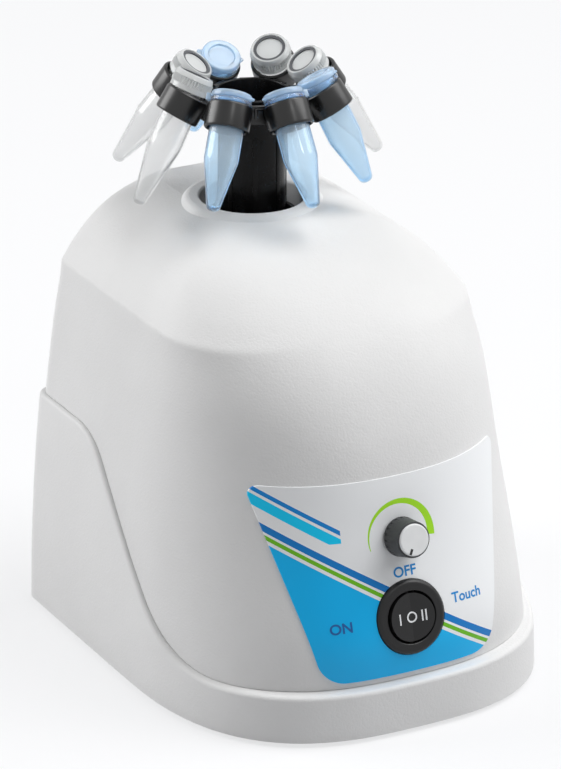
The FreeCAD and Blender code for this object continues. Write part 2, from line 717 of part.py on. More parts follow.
for side in (-1, 1):
    bore_spot = Placement(Vector(side * INLET_SCREW_X, REAR - 1, INLET_MIDDLE), OUT_OF_REAR)
    flange_bores.append(cylinder("flange_bore%d" % (side + 1), "1.7", "6", bore_spot))
    sink_spot = Placement(Vector(side * INLET_SCREW_X, REAR + 0.6, INLET_MIDDLE), OUT_OF_REAR)
    flange_bores.append(cylinder("flange_sink%d" % (side + 1), "2.9", "3", sink_spot))
    screw_spot = Placement(Vector(side * INLET_SCREW_X, REAR + 0.6, INLET_MIDDLE), INTO_REAR)
    inlet_screws.append(screw("inlet_screw%d" % (side + 1), 1.2, "8", 2.7, 1.2, screw_spot))
inlet_block = fuse("inlet_block", [inlet_body, inlet_flange])
inlet_tools = [socket_room, drawer_room, drawer_face_room] + pin_slots + flange_bores
node(cut("inlet_finished", inlet_block, inlet_tools), "mains_inlet")
node(group("pin_group", pins), "inlet_pins")
node(group("inlet_screw_group", inlet_screws), "inlet_screws")

drawer_tray = box("drawer_tray", "21.6", "20", "6", at(0, REAR - 9.2, DRAWER_LOW + 0.2))
drawer_face = box("drawer_face", "24", "1", "7.4", at(0, REAR + 1.3, DRAWER_LOW - 0.5))
drawer_pocket = box("drawer_pocket", "18", "16", "6", at(0, REAR - 9.6, DRAWER_LOW + 1.4))
node(cut("drawer_finished", fuse("drawer_block", [drawer_tray, drawer_face]), [drawer_pocket]), "fuse_drawer")

# Ballast plate, guide screws and springs under the motor plate

POST_SPOTS = [(26, 17), (-26, 17), (26, -17), (-26, -17)]
SPRING_FOOT = 30.0
BALLAST_AHEAD = 8.0
ballast_blank = box("ballast_blank", "72", "72", "ballast_top - floor_high",
                    from_head(0, BALLAST_AHEAD, size("floor_high")))
post_threads = []
guide_screws = []
springs = []
for number, (x, forward) in enumerate(POST_SPOTS):
    foot_spot = from_head(x, forward, 0)
    post_threads.append(cylinder("post_thread%d" % number, "2.05", "20", foot_spot))
    guide_screws.append(turned("guide_screw%d" % number, [
        ("0", "floor_high + 0.5"), ("2", "floor_high + 0.5"), ("2", "ballast_top"), ("6", "ballast_top"),
        ("6", SPRING_FOOT), ("3", SPRING_FOOT), ("3", "plate_high + 0.05"), ("5", "plate_high + 0.05"),
        ("5", "plate_high + 3"), ("0", "plate_high + 3")], foot_spot))
    helix = doc.addObject("Part::Helix", "spring_line%d" % number)
    helix.Pitch = 3.2
    bind(helix, "Height", "plate_low - %g - 1.6" % SPRING_FOOT)
    helix.Radius = 4.4
    ring = doc.addObject("Part::Circle", "spring_wire%d" % number)
    ring.Radius = 0.6
    ring.Placement = Placement(Vector(4.4, 0, 0), Rotation(Vector(1, 0, 0), 90))
    spring = doc.addObject("Part::Sweep", "spring%d" % number)
    spring.Sections = [ring]
    spring.Spine = (helix, ["Edge1"])
    spring.Solid = True
    spring.Frenet = True
    spring.Placement = from_head(x, forward, SPRING_FOOT + 0.8)
    springs.append(spring)
node(cut("ballast_finished", ballast_blank, post_threads), "ballast_plate")
node(group("guide_group", guide_screws), "guide_screws")
node(group("spring_group", springs), "touch_springs")

plate_blank = box("plate_blank", "64", "46", "plate_high - plate_low", from_head(0, 0, size("plate_low")))
PLATE_SCREW_RADIUS = 11.0
plate_tools = [cylinder("plate_centre", "7", "12", from_head(0, 0, size("plate_low") - 4))]
plate_screws = []
bracket_bores = []
for number, (x, forward) in enumerate(POST_SPOTS):
    plate_tools.append(cylinder("plate_guide%d" % number, "3.06", "12", from_head(x, forward, 44)))
for number in range(3):
    angle = math.radians(30 + 120 * number)
    x = PLATE_SCREW_RADIUS * math.cos(angle)
    ahead = PLATE_SCREW_RADIUS * math.sin(angle)
    plate_tools.append(cylinder("plate_bore%d" % number, "1.7", "12", from_head(x, ahead, 44)))
    bracket_bores.append(cylinder("bracket_bore%d" % number, "1.55", "6", from_head(x, ahead, 50)))
    plate_screws.append(screw("plate_screw%d" % number, 1.5, "5.3", 2.8, 1.8, from_head(x, ahead, 48)))
node(cut("plate_finished", plate_blank, plate_tools), "motor_plate")
node(group("plate_screw_group", plate_screws), "motor_screws")

# Touch micro switch under the motor plate

TOUCH_AHEAD = 15.0
touch_spot = from_head(0, TOUCH_AHEAD, 0)
touch_block = box("touch_block", "20", "8", "15", touch_spot.multiply(at(0, 0, 27)))
plunger_bore = cylinder("plunger_bore", "1.56", "12", touch_spot.multiply(at(0, 0, 35)))
node(cut("touch_finished", touch_block, [plunger_bore]), "touch_switch")
node(cylinder("plunger_body", "1.5", "9.9", touch_spot.multiply(at(0, 0, 38.05))), "touch_plunger")
bracket_foot = box("bracket_foot", "12", "14", "1.5", touch_spot.multiply(at(0, 0, size("ballast_top"))))
bracket_web = box("bracket_web", "12", "2", "12", touch_spot.multiply(at(0, 0, size("ballast_top"))))
node(fuse("bracket_finished", [bracket_foot, bracket_web]), "touch_bracket")

# Motor: brackets, stator, windings, bearings, rotor and shaft

BEARING_RADIUS = 6.5
STATOR_LOW = 61.0
STATOR_HIGH = 85.0


def bracket(name, inner, sign):
    """A motor end bracket: a cup with a bearing seat, open towards the stator."""
    outer = inner + sign * 10
    return turned(name, [
        ("motor_radius - 2", inner), ("motor_radius", inner), ("motor_radius", outer), ("3.5", outer),
        ("3.5", outer - sign * 1.9), (BEARING_RADIUS + 0.02, outer - sign * 1.9),
        (BEARING_RADIUS + 0.02, inner + sign * 3), ("9", inner + sign * 3), ("9", outer - sign * 2.5),
        ("motor_radius - 2", outer - sign * 2.5)], HEAD_AXIS)


upper_bracket = bracket("upper_bracket", STATOR_HIGH, 1)
lower_bracket = bracket("lower_bracket_blank", STATOR_LOW, -1)
node(upper_bracket, "motor_bracket_upper")
node(cut("lower_bracket", lower_bracket, bracket_bores), "motor_bracket_lower")

stator_ring = turned("stator_ring", [
    ("15.5", STATOR_LOW), ("motor_radius", STATOR_LOW), ("motor_radius", STATOR_HIGH),
    ("15.5", STATOR_HIGH)], HEAD_AXIS)
STATOR_SLOTS = 8
stator_slots = []
for number in range(STATOR_SLOTS):
    turn = Placement(Vector(0, 0, 0), Rotation(Vector(0, 0, 1), 360.0 * number / STATOR_SLOTS))
    spot = HEAD_AXIS.multiply(turn).multiply(at(18, 0, STATOR_LOW - 1))
    stator_slots.append(box("stator_slot%d" % number, "6", "3", "26", spot))
node(cut("stator_finished", stator_ring, stator_slots), "motor_stator")

windings = []
WINDING_ENDS = [(STATOR_LOW - 5.5, STATOR_LOW - 0.1), (STATOR_HIGH + 0.1, STATOR_HIGH + 5.5)]
for number, (low, high) in enumerate(WINDING_ENDS):
    windings.append(turned("winding%d" % number, [
        ("16", low), ("22", low), ("22", high), ("16", high)], HEAD_AXIS, rounds=[(0, 1.5), (1, 1.5)]))
node(group("winding_group", windings), "motor_windings")

bearings = []
for number, low in enumerate((STATOR_LOW - 8.05, STATOR_HIGH + 3.05)):
    bearings.append(turned("motor_bearing%d" % number, [
        ("shaft_radius + 0.02", low), (BEARING_RADIUS, low), (BEARING_RADIUS, low + 5),
        ("shaft_radius + 0.02", low + 5)], HEAD_AXIS))
node(group("motor_bearing_group", bearings), "motor_bearings")

node(turned("rotor_core", [
    ("shaft_radius + 0.01", STATOR_LOW + 1), ("15", STATOR_LOW + 1), ("15", STATOR_HIGH - 1),
    ("shaft_radius + 0.01", STATOR_HIGH - 1)], HEAD_AXIS), "motor_rotor")
HUB_LOW = 97.0
HUB_HIGH = 105.0
node(cylinder("shaft_body", "shaft_radius", "%g - 49.5" % (HUB_HIGH - 1), HEAD_AXIS.multiply(at(0, 0, 49.5))),
     "motor_shaft")

# Eccentric hub with counterweight, set screw and head bearing

PIN_RADIUS = 4.0
PIN_TOP = 119.5
hub_core = cylinder("hub_core", "9", "%g" % (HUB_HIGH - HUB_LOW), HEAD_AXIS.multiply(at(0, 0, HUB_LOW)))
crank_pin = cylinder("crank_pin", "%g" % PIN_RADIUS, "%g" % (PIN_TOP - HUB_HIGH + 1),
                     CRANK_AXIS.multiply(at(0, 0, HUB_HIGH - 1)))
weight = cylinder("weight", "19", "5", HEAD_AXIS.multiply(
    Placement(Vector(0, 0, HUB_LOW + 1), Rotation(Vector(0, 0, 1), size("crank_angle") + 90))))
weight.Angle = 180.0
shaft_bore = cylinder("shaft_bore", "shaft_radius + 0.02", "%g" % (HUB_HIGH - HUB_LOW - 0.5),
                      HEAD_AXIS.multiply(at(0, 0, HUB_LOW - 0.5)))
hub_side = Placement(Vector(0, 0, HUB_LOW + 3.5), Rotation(Vector(0, 0, 1), size("crank_angle")))
hub_radial = HEAD_AXIS.multiply(hub_side).multiply(Placement(Vector(0, 0, 0), Rotation(Vector(0, 1, 0), 90)))
set_bore = cylinder("set_bore", "1.55", "12", hub_radial)
hub_solid = fuse("hub_solid", [hub_core, crank_pin, weight])
node(cut("hub_finished", hub_solid, [shaft_bore, set_bore]), "eccentric_hub")
node(cylinder("set_screw_body", "1.5", "5", hub_radial.multiply(at(0, 0, 3.3))), "hub_set_screw")

HEAD_BEARING_LOW = 107.5
HEAD_BEARING_HIGH = 117.3
node(turned("bearing_inner", [
    ("%g" % (PIN_RADIUS + 0.01), HEAD_BEARING_LOW), ("5.6", HEAD_BEARING_LOW), ("5.6", HEAD_BEARING_HIGH),
    ("%g" % (PIN_RADIUS + 0.01), HEAD_BEARING_HIGH)], CRANK_AXIS), "head_bearing_inner")
node(turned("bearing_outer", [
    ("5.66", HEAD_BEARING_LOW), ("8", HEAD_BEARING_LOW), ("8", HEAD_BEARING_HIGH), ("5.66", HEAD_BEARING_HIGH)],
    CRANK_AXIS), "head_bearing_outer")

# Rubber boot in the head hole, wide enough for the orbiting post, and the ring that holds it

boot_low = size("collar_bottom") - 2.0
node(turned("boot_body", [
    ("13.4", boot_low), ("hole_radius + 3", boot_low), ("hole_radius + 3", "collar_bottom - 0.05"),
    ("hole_radius - 0.5", "collar_bottom - 0.05"), ("hole_radius - 0.9", 129.0), ("14.2", 131.5),
    ("post_radius + crank + 0.4", 131.5), ("post_radius + crank + 0.4", 129.5)], HEAD_AXIS,
    rounds=[(5, 0.4)]), "rubber_boot")
node(turned("retainer_ring", [
    ("14.5", boot_low - 2.5), ("21.5", boot_low - 2.5), ("21.5", 130.0), ("hole_radius + 3.05", 130.0),
    ("hole_radius + 3.05", boot_low - 0.05), ("14.5", boot_low - 0.05)], HEAD_AXIS), "boot_retainer")

# Cup head

node(turned("cup_body", [
    ("8.01", 107.0), ("post_radius", 107.0), ("post_radius", 158.0), ("cup_radius", 163.5),
    ("cup_radius", "cup_rim"), ("cup_radius - 1.1", "cup_rim"), ("8.6", 158.5), ("0", 156.3), ("0", 151.5),
    ("6.5", 151.5), ("6.5", HEAD_BEARING_HIGH + 0.1), ("8.01", HEAD_BEARING_HIGH + 0.1)], CRANK_AXIS,
    rounds=[(4, 0.5), (5, 0.4), (6, 2.0)]), "cup_head")

# Tube holder: octagonal band round the cup with eight leaning loops

PLACES = 8
BAND_LOW = 164.2
BAND_HIGH = 168.8


def octagon(name, radius, height):
    made = doc.addObject("Part::RegularPolygon", name)
    made.Polygon = PLACES
    made.Circumradius = radius
    made.Placement = CRANK_AXIS.multiply(at(0, 0, height))
    return made


def loop_frame(number, extra_lean=0.0):
    """Frame of one loop: its own Z runs up the tube, leaning towards the head axis."""
    turn = Placement(Vector(0, 0, 0), Rotation(Vector(0, 0, 1), 360.0 * number / PLACES))
    lean = Placement(Vector(size("loop_radius"), 0, size("loop_height")),
                     Rotation(Vector(0, 1, 0), -size("loop_tilt") - extra_lean))
    return CRANK_AXIS.multiply(turn).multiply(lean)


band = doc.addObject("Part::Loft", "holder_band")
band.Sections = [octagon("band_foot", 15.8, BAND_LOW), octagon("band_head", 14.0, BAND_HIGH)]
band.Solid = True
band.Ruled = True
holder_parts = [band]
holder_bores = [cylinder("holder_bore", "cup_radius + 0.15", "20", CRANK_AXIS.multiply(at(0, 0, 155)))]
for number in range(PLACES):
    turn = Placement(Vector(0, 0, 0), Rotation(Vector(0, 0, 1), 360.0 * number / PLACES))
    half_turn = Placement(Vector(0, 0, 0), Rotation(Vector(0, 0, 1), 360.0 * (number + 0.5) / PLACES))
    frame = loop_frame(number)
    arm_spot = CRANK_AXIS.multiply(turn).multiply(at(16.2, 0, BAND_LOW))
    holder_parts.append(box("holder_arm%d" % number, "7", "6.4", "4.4", arm_spot))
    bar_spot = CRANK_AXIS.multiply(half_turn).multiply(at(13.2, 0, BAND_HIGH - 0.2))
    holder_parts.append(box("holder_bar%d" % number, "1.6", "5.6", "1.4", bar_spot))
    holder_parts.append(cylinder("loop%d" % number, "loop_outer", "2 * loop_half",
                                 frame.multiply(at(0, 0, -size("loop_half")))))
    holder_bores.append(cylinder("loop_bore%d" % number, "loop_bore", "18", frame.multiply(at(0, 0, -9))))
node(cut("holder_finished", fuse("holder_solid", holder_parts), holder_bores), "tube_holder")

# Microtubes: snap-cap ones with the lid on a strap, and screw-cap ones with a cap and a dark ring in it.
# A tube hangs loosely in its loop, so some lean a few degrees more or less than the loop does.

RIM_LOW = 4.05
TUBE_MOUTH = 5.4
LID_LOW = 5.5
LID_HIGH = 7.6
NECK_RADIUS = 4.6
CAP_FLOOR = 0.7
CAP_RECESS = 5.0
SHOULDER = 1.6


def tube_outline(top, mouth_radius, mouth, tip):
    """Outline of a tube wall: the given outside of its top, then its cone and its inside."""
    inside = "tube_radius - tube_skin"
    return top + [
        ("tube_radius", "-tube_taper"), ("tip_radius", "-" + tip), ("0", "-" + tip),
        ("0", "1.2 - " + tip), ("tip_radius - 0.7", "1.2 - " + tip), (inside, "-tube_taper"),
        (inside, "1.5"), (mouth_radius, mouth)]


def snap_tube(number, place, spin):
    frame = place.multiply(Placement(Vector(0, 0, 0), Rotation(Vector(0, 0, 1), spin)))
    top = [("rim_radius", TUBE_MOUTH), ("rim_radius", RIM_LOW), ("tube_radius", RIM_LOW)]
    outline = tube_outline(top, 4.5, TUBE_MOUTH, "snap_tip")
    corner = len(top) + 1
    cone = turned("snap_cone%d" % number, outline, frame, rounds=[(corner, 1.7)])
    lid = turned("snap_lid%d" % number, [
        ("0", 5.9), ("3.5", 5.9), ("3.5", 2.6), ("4.2", 2.6), ("4.2", LID_LOW), ("rim_radius - 0.1", LID_LOW),
        ("rim_radius - 0.1", LID_HIGH), ("4.3", LID_HIGH), ("4.0", LID_HIGH - 0.6), ("0", LID_HIGH - 0.6)],
        frame, rounds=[(6, 0.7)])
    strap = box("snap_strap%d" % number, "1.8", "4", "2.4", frame.multiply(at(6.7, 0, 4.4)))
    tab = box("snap_tab%d" % number, "2", "4", "0.9", frame.multiply(at(-6.4, 0, 5.75)))
    return fuse("snap_tube_solid%d" % number, [cone, lid, strap, tab])


def screw_tube(number, place):
    top = [(NECK_RADIUS, "cap_top - 1.6"), (NECK_RADIUS, "cap_low - 0.1"), ("tube_radius", "cap_low - 0.1")]
    outline = tube_outline(top, 3.7, "cap_top - 1.6", "screw_tip")
    corner = len(top) + 1
    return turned("screw_tube_solid%d" % number, outline, place, rounds=[(corner, 1.7)])


def screw_cap(number, place):
    """A cap with a plain skirt, a leaning shoulder and a recess in its top."""
    return turned("screw_cap_solid%d" % number, [
        ("0", "cap_top - 1.5"), (NECK_RADIUS + 0.1, "cap_top - 1.5"), (NECK_RADIUS + 0.1, "cap_low"),
        ("cap_radius", "cap_low"), ("cap_radius", "cap_top - %g" % SHOULDER), ("5.7", "cap_top"),
        (CAP_RECESS, "cap_top"), (CAP_RECESS, "cap_top - %g" % CAP_FLOOR), ("0", "cap_top - %g" % CAP_FLOOR)],
        place, rounds=[(5, 0.3)])


def cap_ring(number, place):
    """The dark ring that lies in the recess of a cap."""
    return turned("cap_ring%d" % number, [
        (CAP_RECESS - 0.9, "cap_top - %g" % CAP_FLOOR), (CAP_RECESS - 0.1, "cap_top - %g" % CAP_FLOOR),
        (CAP_RECESS - 0.1, "cap_top - 0.25"), (CAP_RECESS - 0.9, "cap_top - 0.25")], place)


SNAP_PLACES = [(5, 270, 0, 0), (6, 90, 0, 0), (7, 180, -6, 1), (2, 70, 0, 0)]
SCREW_PLACES = [(4, -6), (3, 4), (0, 5), (1, 0)]
for number, (place_number, spin, lean, lift) in enumerate(SNAP_PLACES, start=1):
    raised = loop_frame(place_number, lean).multiply(at(0, 0, lift))
    node(snap_tube(number, raised, spin), "snap_tube_%d" % number)
cap_rings = []
for number, (place_number, lean) in enumerate(SCREW_PLACES, start=1):
    frame = loop_frame(place_number, lean)
    node(screw_tube(number, frame), "screw_tube_%d" % number)
    node(screw_cap(number, frame), "screw_cap_%d" % number)
    cap_rings.append(cap_ring(number, frame))
node(group("cap_ring_group", cap_rings), "cap_rings")

# Check everything, then write one file per piece

doc.recompute()
failed = [thing.Name for thing in doc.Objects if "Invalid" in thing.State or "Error" in thing.State]
for thing in nodes:
    if thing.Shape.isNull() or not thing.Shape.isValid() or not thing.Shape.Solids:
        failed.append(thing.Label)
if failed:
    raise SystemExit("failed: " + ", ".join(failed))
for thing in nodes:
    thing.Shape.exportStep("parts/%s.step" % thing.Label)
    extent = thing.Shape.BoundBox
    print("%-22s solids %d  volume %9.1f  z %6.1f to %6.1f" % (
        thing.Label, len(thing.Shape.Solids), thing.Shape.Volume, extent.ZMin, extent.ZMax))
print(len(nodes), "nodes")
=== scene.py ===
# %% [markdown]
# # Dressing a bench vortex mixer
# The packed model already holds every piece of the mixer at its real size, in metres, with the front facing -Y.
# This lesson adds what the eye sees: grained plastic, a printed label, glossy black mouldings and milky tubes.
# Nothing of the construction is moved here. New meshes either stand for one of its nodes or lie on one.

# %% Load the construction
import json
import math

import bmesh
import bpy
from mathutils import Matrix, Vector
from mathutils.bvhtree import BVHTree


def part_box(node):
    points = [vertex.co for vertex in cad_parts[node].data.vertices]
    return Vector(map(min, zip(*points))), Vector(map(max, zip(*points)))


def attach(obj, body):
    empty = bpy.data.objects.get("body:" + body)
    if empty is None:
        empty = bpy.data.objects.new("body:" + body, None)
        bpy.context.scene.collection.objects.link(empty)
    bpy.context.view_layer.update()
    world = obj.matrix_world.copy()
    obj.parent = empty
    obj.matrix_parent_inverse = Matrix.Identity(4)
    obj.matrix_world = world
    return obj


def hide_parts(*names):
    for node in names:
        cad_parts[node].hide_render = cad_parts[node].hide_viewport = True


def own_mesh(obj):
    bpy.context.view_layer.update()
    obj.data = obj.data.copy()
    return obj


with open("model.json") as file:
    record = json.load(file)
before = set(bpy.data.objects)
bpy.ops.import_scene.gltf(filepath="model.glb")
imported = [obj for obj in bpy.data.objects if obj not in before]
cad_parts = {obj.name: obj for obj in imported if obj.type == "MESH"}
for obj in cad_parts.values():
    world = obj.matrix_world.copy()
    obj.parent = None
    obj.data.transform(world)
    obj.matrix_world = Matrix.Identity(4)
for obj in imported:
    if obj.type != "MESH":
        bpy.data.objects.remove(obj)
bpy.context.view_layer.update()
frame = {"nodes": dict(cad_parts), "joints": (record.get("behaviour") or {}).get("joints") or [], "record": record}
MM = 0.001
joints = {joint["name"]: joint for joint in frame["joints"]}
head_axis = Vector(joints["motor_spin"]["pos_m"]) * Vector((1, 1, 0))
crank_axis = Vector(joints["head_hold"]["pos_m"]) * Vector((1, 1, 0))
knob_spot = Vector(joints["knob_turn"]["pos_m"])
panel_out = Vector(joints["knob_turn"]["axis"])
panel_up = Vector(joints["rocker_tilt"]["axis"])

# %% [markdown]
# ## The camera
# A product photograph of something this small is taken from well over a metre away with a long lens, so that
# upright edges stay nearly parallel. The lens and the two angles below were solved from the outline of the base,
# the round hole in the dome and the height of the cup, and the frame is the photograph's.

# %% Camera
VIEW_TURN = math.radians(28.11)
VIEW_LIFT = math.radians(22.67)
CAMERA_FROM_HEAD = Vector((-0.6551, -1.2450, 0.6611))
LENS_MM = 227.5
camera_data = bpy.data.cameras.new("portrait_camera")
camera_data.sensor_width = 36.0
camera_data.lens = LENS_MM
camera = bpy.data.objects.new("portrait_camera", camera_data)
camera.location = CAMERA_FROM_HEAD + Vector((0, head_axis.y, 0))
camera.rotation_euler = (math.pi / 2 - VIEW_LIFT, 0, -VIEW_TURN)
bpy.context.scene.collection.objects.link(camera)
bpy.context.scene.camera = camera
print("camera at", [round(value, 4) for value in camera.location])

# %% [markdown]
# ## Writing shaders as sums
# A finish is a small network of nodes, and wiring them by hand hides the idea behind it. The class below wraps one
# socket, so that `grain * 0.2 + 0.5` adds the Math nodes by itself. Any other node comes from its `node` method.


# %% A socket that can be added and multiplied
class Flow:
    """One output socket of a material, or the empty start of one."""

    def __init__(self, tree, socket=None):
        self.tree = tree
        self.socket = socket

    def node(self, kind, settings=None, inputs=None, output=0):
        """Add a node: its settings first, then the values or links of its sockets."""
        made = self.tree.nodes.new(kind)
        for name, value in (settings or {}).items():
            setattr(made, name, value)
        for name, value in (inputs or {}).items():
            self.feed(made.inputs[name], value)
        return Flow(self.tree, made.outputs[output])

    def feed(self, socket, value):
        if isinstance(value, Flow):
            self.tree.links.new(value.socket, socket)
        else:
            socket.default_value = value

    def math(self, operation, *others):
        inputs = dict(enumerate((self, *others)))
        return self.node("ShaderNodeMath", {"operation": operation}, inputs)

    def __add__(self, other):
        return self.math("ADD", other)

    def __radd__(self, other):
        return self.math("ADD", other)

    def __mul__(self, other):
        return self.math("MULTIPLY", other)

    def __rmul__(self, other):
        return self.math("MULTIPLY", other)

    def __sub__(self, other):
        return self.math("SUBTRACT", other)

    def __rsub__(self, other):
        return (self * -1.0) + other

    def __truediv__(self, other):
        return self.math("DIVIDE", other)

    def __gt__(self, other):
        return self.math("GREATER_THAN", other)

    def __lt__(self, other):
        return self.math("LESS_THAN", other)

    def between(self, low, high):
        """One inside the range and nothing outside it."""
        return (self > low) * (self < high)

    def soft(self, low, high):
        """Rises smoothly from nothing at low to one at high."""
        settings = {"interpolation_type": "SMOOTHSTEP"}
        return self.node("ShaderNodeMapRange", settings, {"Value": self, "From Min": low, "From Max": high})

    def part(self, axis):
        return self.node("ShaderNodeSeparateXYZ", None, {0: self}, axis)

    def noise(self, size_mm, detail=2.0, stretch=(1, 1, 1)):
        """Even noise whose blobs are about this big, or drawn out along an axis."""
        place = self.node("ShaderNodeVectorMath", {"operation": "MULTIPLY"}, {0: self, 1: stretch})
        inputs = {"Vector": place, "Scale": 1 / (size_mm * MM), "Detail": detail}
        return self.node("ShaderNodeTexNoise", None, inputs)

    def mix(self, first, second):
        """Blend two colours by this factor."""
        inputs = {0: self, 6: first, 7: second}
        return self.node("ShaderNodeMix", {"data_type": "RGBA"}, inputs, 2)


print("a socket can", [name for name in vars(Flow) if not name.startswith("_")])

# %% [markdown]
# ## Inks and finishes
# Colours are noted from 0 to 255, while a shader reckons with light, so each is turned into
# light once. A finish is then a material that hands back its shader and the piece's own coordinates, on which every
# pattern is laid, and a relief is always given in millimetres.


# %% Colour, material and relief
def ink(red, green, blue):
    """A colour given from 0 to 255, as the light it stands for."""
    def light(value):
        value /= 255
        return value / 12.92 if value < 0.04045 else ((value + 0.055) / 1.055) ** 2.4
    return light(red), light(green), light(blue), 1.0


finishes = {}


def finish(name, color, roughness):
    """A new material: its shader and the object's own coordinates."""
    material = bpy.data.materials.new(name)
    material.use_nodes = True
    shader = material.node_tree.nodes["Principled BSDF"]
    shader.inputs["Base Color"].default_value = color
    shader.inputs["Roughness"].default_value = roughness
    where = Flow(material.node_tree).node("ShaderNodeTexCoord", None, None, "Object")
    finishes[name] = material
    return shader, where


def bump(where, shader, height, depth_mm):
    inputs = {"Height": height, "Distance": depth_mm * MM, "Strength": 1.0}
    where.feed(shader.inputs["Normal"], where.node("ShaderNodeBump", None, inputs))


print("a grey of 128 is light", round(ink(128, 128, 128)[0], 3))

# %% [markdown]
# ## Moulded plastic
# The housing is a pale grey moulding from a spark-eroded tool, so its skin is a very fine even grain that breaks up
# the highlights. Two noises of different size make the grain, and a broad one makes the slight cloudiness of a large
# moulding. The black parts use the same recipe with a shallower grain, and the cup is the darkest of them.

# %% Finishes for mouldings
CLOUD_MM = 28.0


def moulding(name, color, roughness, grain_mm, grain_depth, cloud=0.02, gloss=0.5):
    shader, where = finish(name, color, roughness)
    shader.inputs["Specular IOR Level"].default_value = gloss
    fine = where.noise(grain_mm, 3.0)
    coarse = where.noise(grain_mm * 3.1, 2.0)
    bump(where, shader, fine * 0.65 + coarse * 0.35, grain_depth)
    clouds = where.noise(CLOUD_MM, 3.0).soft(0.35, 0.65)
    darker = tuple(value * (1 - 2 * cloud) for value in color[:3]) + (1.0,)
    tone = clouds.mix(darker, color)
    where.feed(shader.inputs["Base Color"], tone)
    where.feed(shader.inputs["Roughness"], coarse * 0.16 + (roughness - 0.08))


moulding("housing", ink(227, 227, 227), 0.5, 0.7, 0.14, 0.012, gloss=0.35)
moulding("base", ink(229, 229, 229), 0.5, 0.7, 0.14, 0.012, gloss=0.35)
moulding("black_gloss", ink(14, 14, 15), 0.3, 1.6, 0.012, 0.05, gloss=0.5)
moulding("cup_black", ink(8, 8, 9), 0.26, 1.6, 0.012, 0.04, gloss=0.15)
moulding("switch_black", ink(30, 30, 31), 0.34, 0.45, 0.03, 0.04, gloss=0.3)
moulding("inlet_black", ink(30, 30, 31), 0.45, 0.5, 0.04, 0.04)
moulding("knob_grey", ink(58, 60, 62), 0.45, 0.4, 0.03, 0.05, gloss=0.35)
moulding("rubber_black", ink(20, 20, 20), 0.62, 0.35, 0.05, 0.05)
moulding("rubber_grey", ink(80, 82, 86), 0.6, 0.35, 0.03, 0.06)
moulding("board_green", ink(24, 96, 58), 0.35, 0.3, 0.01, 0.05)
print("mouldings", sorted(finishes))

# %% [markdown]
# ## Metal
# Screws, shafts and brackets are bare or plated metal. Drawing the noise out along one axis turns blobs into the
# fine lines that turning and brushing leave, and the same lines vary the gloss.


# %% Finishes for metal
def metal(name, color, roughness, line_mm=0.2, along=(1, 1, 0.04)):
    shader, where = finish(name, color, roughness)
    lines = where.noise(line_mm, 2.0, along)
    shader.inputs["Metallic"].default_value = 1.0
    bump(where, shader, lines, 0.01)
    where.feed(shader.inputs["Roughness"], lines * 0.25 + (roughness - 0.12))
    stain = where.noise(9.0, 3.0).soft(0.3, 0.7)
    duller = tuple(value * 0.86 for value in color[:3]) + (1.0,)
    where.feed(shader.inputs["Base Color"], stain.mix(duller, color))


metal("steel", ink(205, 205, 204), 0.28)
metal("zinc", ink(190, 191, 190), 0.38, 0.35)
metal("aluminium", ink(212, 213, 214), 0.42, 0.5)
metal("laminations", ink(128, 129, 131), 0.5, 0.5, (0.02, 0.02, 1))
metal("copper", ink(196, 118, 74), 0.35, 0.4, (0.05, 0.05, 1))
metal("brass", ink(214, 186, 120), 0.3)
metal("iron", ink(74, 75, 77), 0.6, 0.9, (1, 1, 1))
print("with metals", len(finishes), "finishes")

# %% [markdown]
# ## Milky tubes
# Polypropylene lets light through but scatters it, so a tube looks frosted in the middle and deeper in colour along
# its edges, where the wall is seen edge on. A partly transmitting shader on a real wall thickness gives that without
# any trick: the tint is a Volume Absorption inside the wall, so a longer way through it is bluer. A thin coat gives
# the crisp glints, and a little unevenness in the roughness gives the streaks of a thin moulding. Lids and caps are
# thicker, so they get finishes of their own that pass less light.


# %% Finishes for tubes
TUBE_TINT = ink(60, 208, 254)
STREAK_MM = 1.4
HAZE_MM = 6.0


def polypropylene(name, color, passing, roughness, depth_color=None, depth=0.0):
    shader, where = finish(name, color, roughness)
    shader.inputs["Transmission Weight"].default_value = passing
    shader.inputs["IOR"].default_value = 1.06
    shader.inputs["Coat Weight"].default_value = 0.8
    shader.inputs["Coat Roughness"].default_value = 0.1
    if depth_color:
        tint = where.node("ShaderNodeVolumeAbsorption", None, {"Color": depth_color, "Density": depth / MM})
        where.feed(where.tree.nodes["Material Output"].inputs["Volume"], tint)
    streaks = where.noise(STREAK_MM, 2.0)
    where.feed(shader.inputs["Roughness"], streaks * 0.1 + (roughness - 0.05))
    haze = where.noise(HAZE_MM, 2.0).soft(0.3, 0.75)
    paler = tuple(value * 0.9 + 0.1 for value in color[:3]) + (1.0,)
    where.feed(shader.inputs["Base Color"], haze.mix(color, paler))


polypropylene("tube_blue", ink(244, 250, 254), 0.82, 0.1, TUBE_TINT, 0.27)
polypropylene("lid_blue", ink(212, 232, 249), 0.55, 0.14, TUBE_TINT, 0.06)
polypropylene("tube_clear", ink(252, 252, 252), 0.86, 0.14, ink(180, 185, 186), 0.15)
polypropylene("cap_clear", ink(234, 236, 236), 0.42, 0.2)
print("finishes so far", len(finishes))

# %% [markdown]
# ## The label
# The film on the panel is white with a printed colour field, so its print belongs in the finish rather than in the
# mesh: straight lines and circles in the panel's own X and Z decide which ink a point gets. A plain slanted field
# with two pinstripes fills the lower corner, a pair of short bars sits in the upper one, and a tapering green sweep
# shows which way the speed rises.

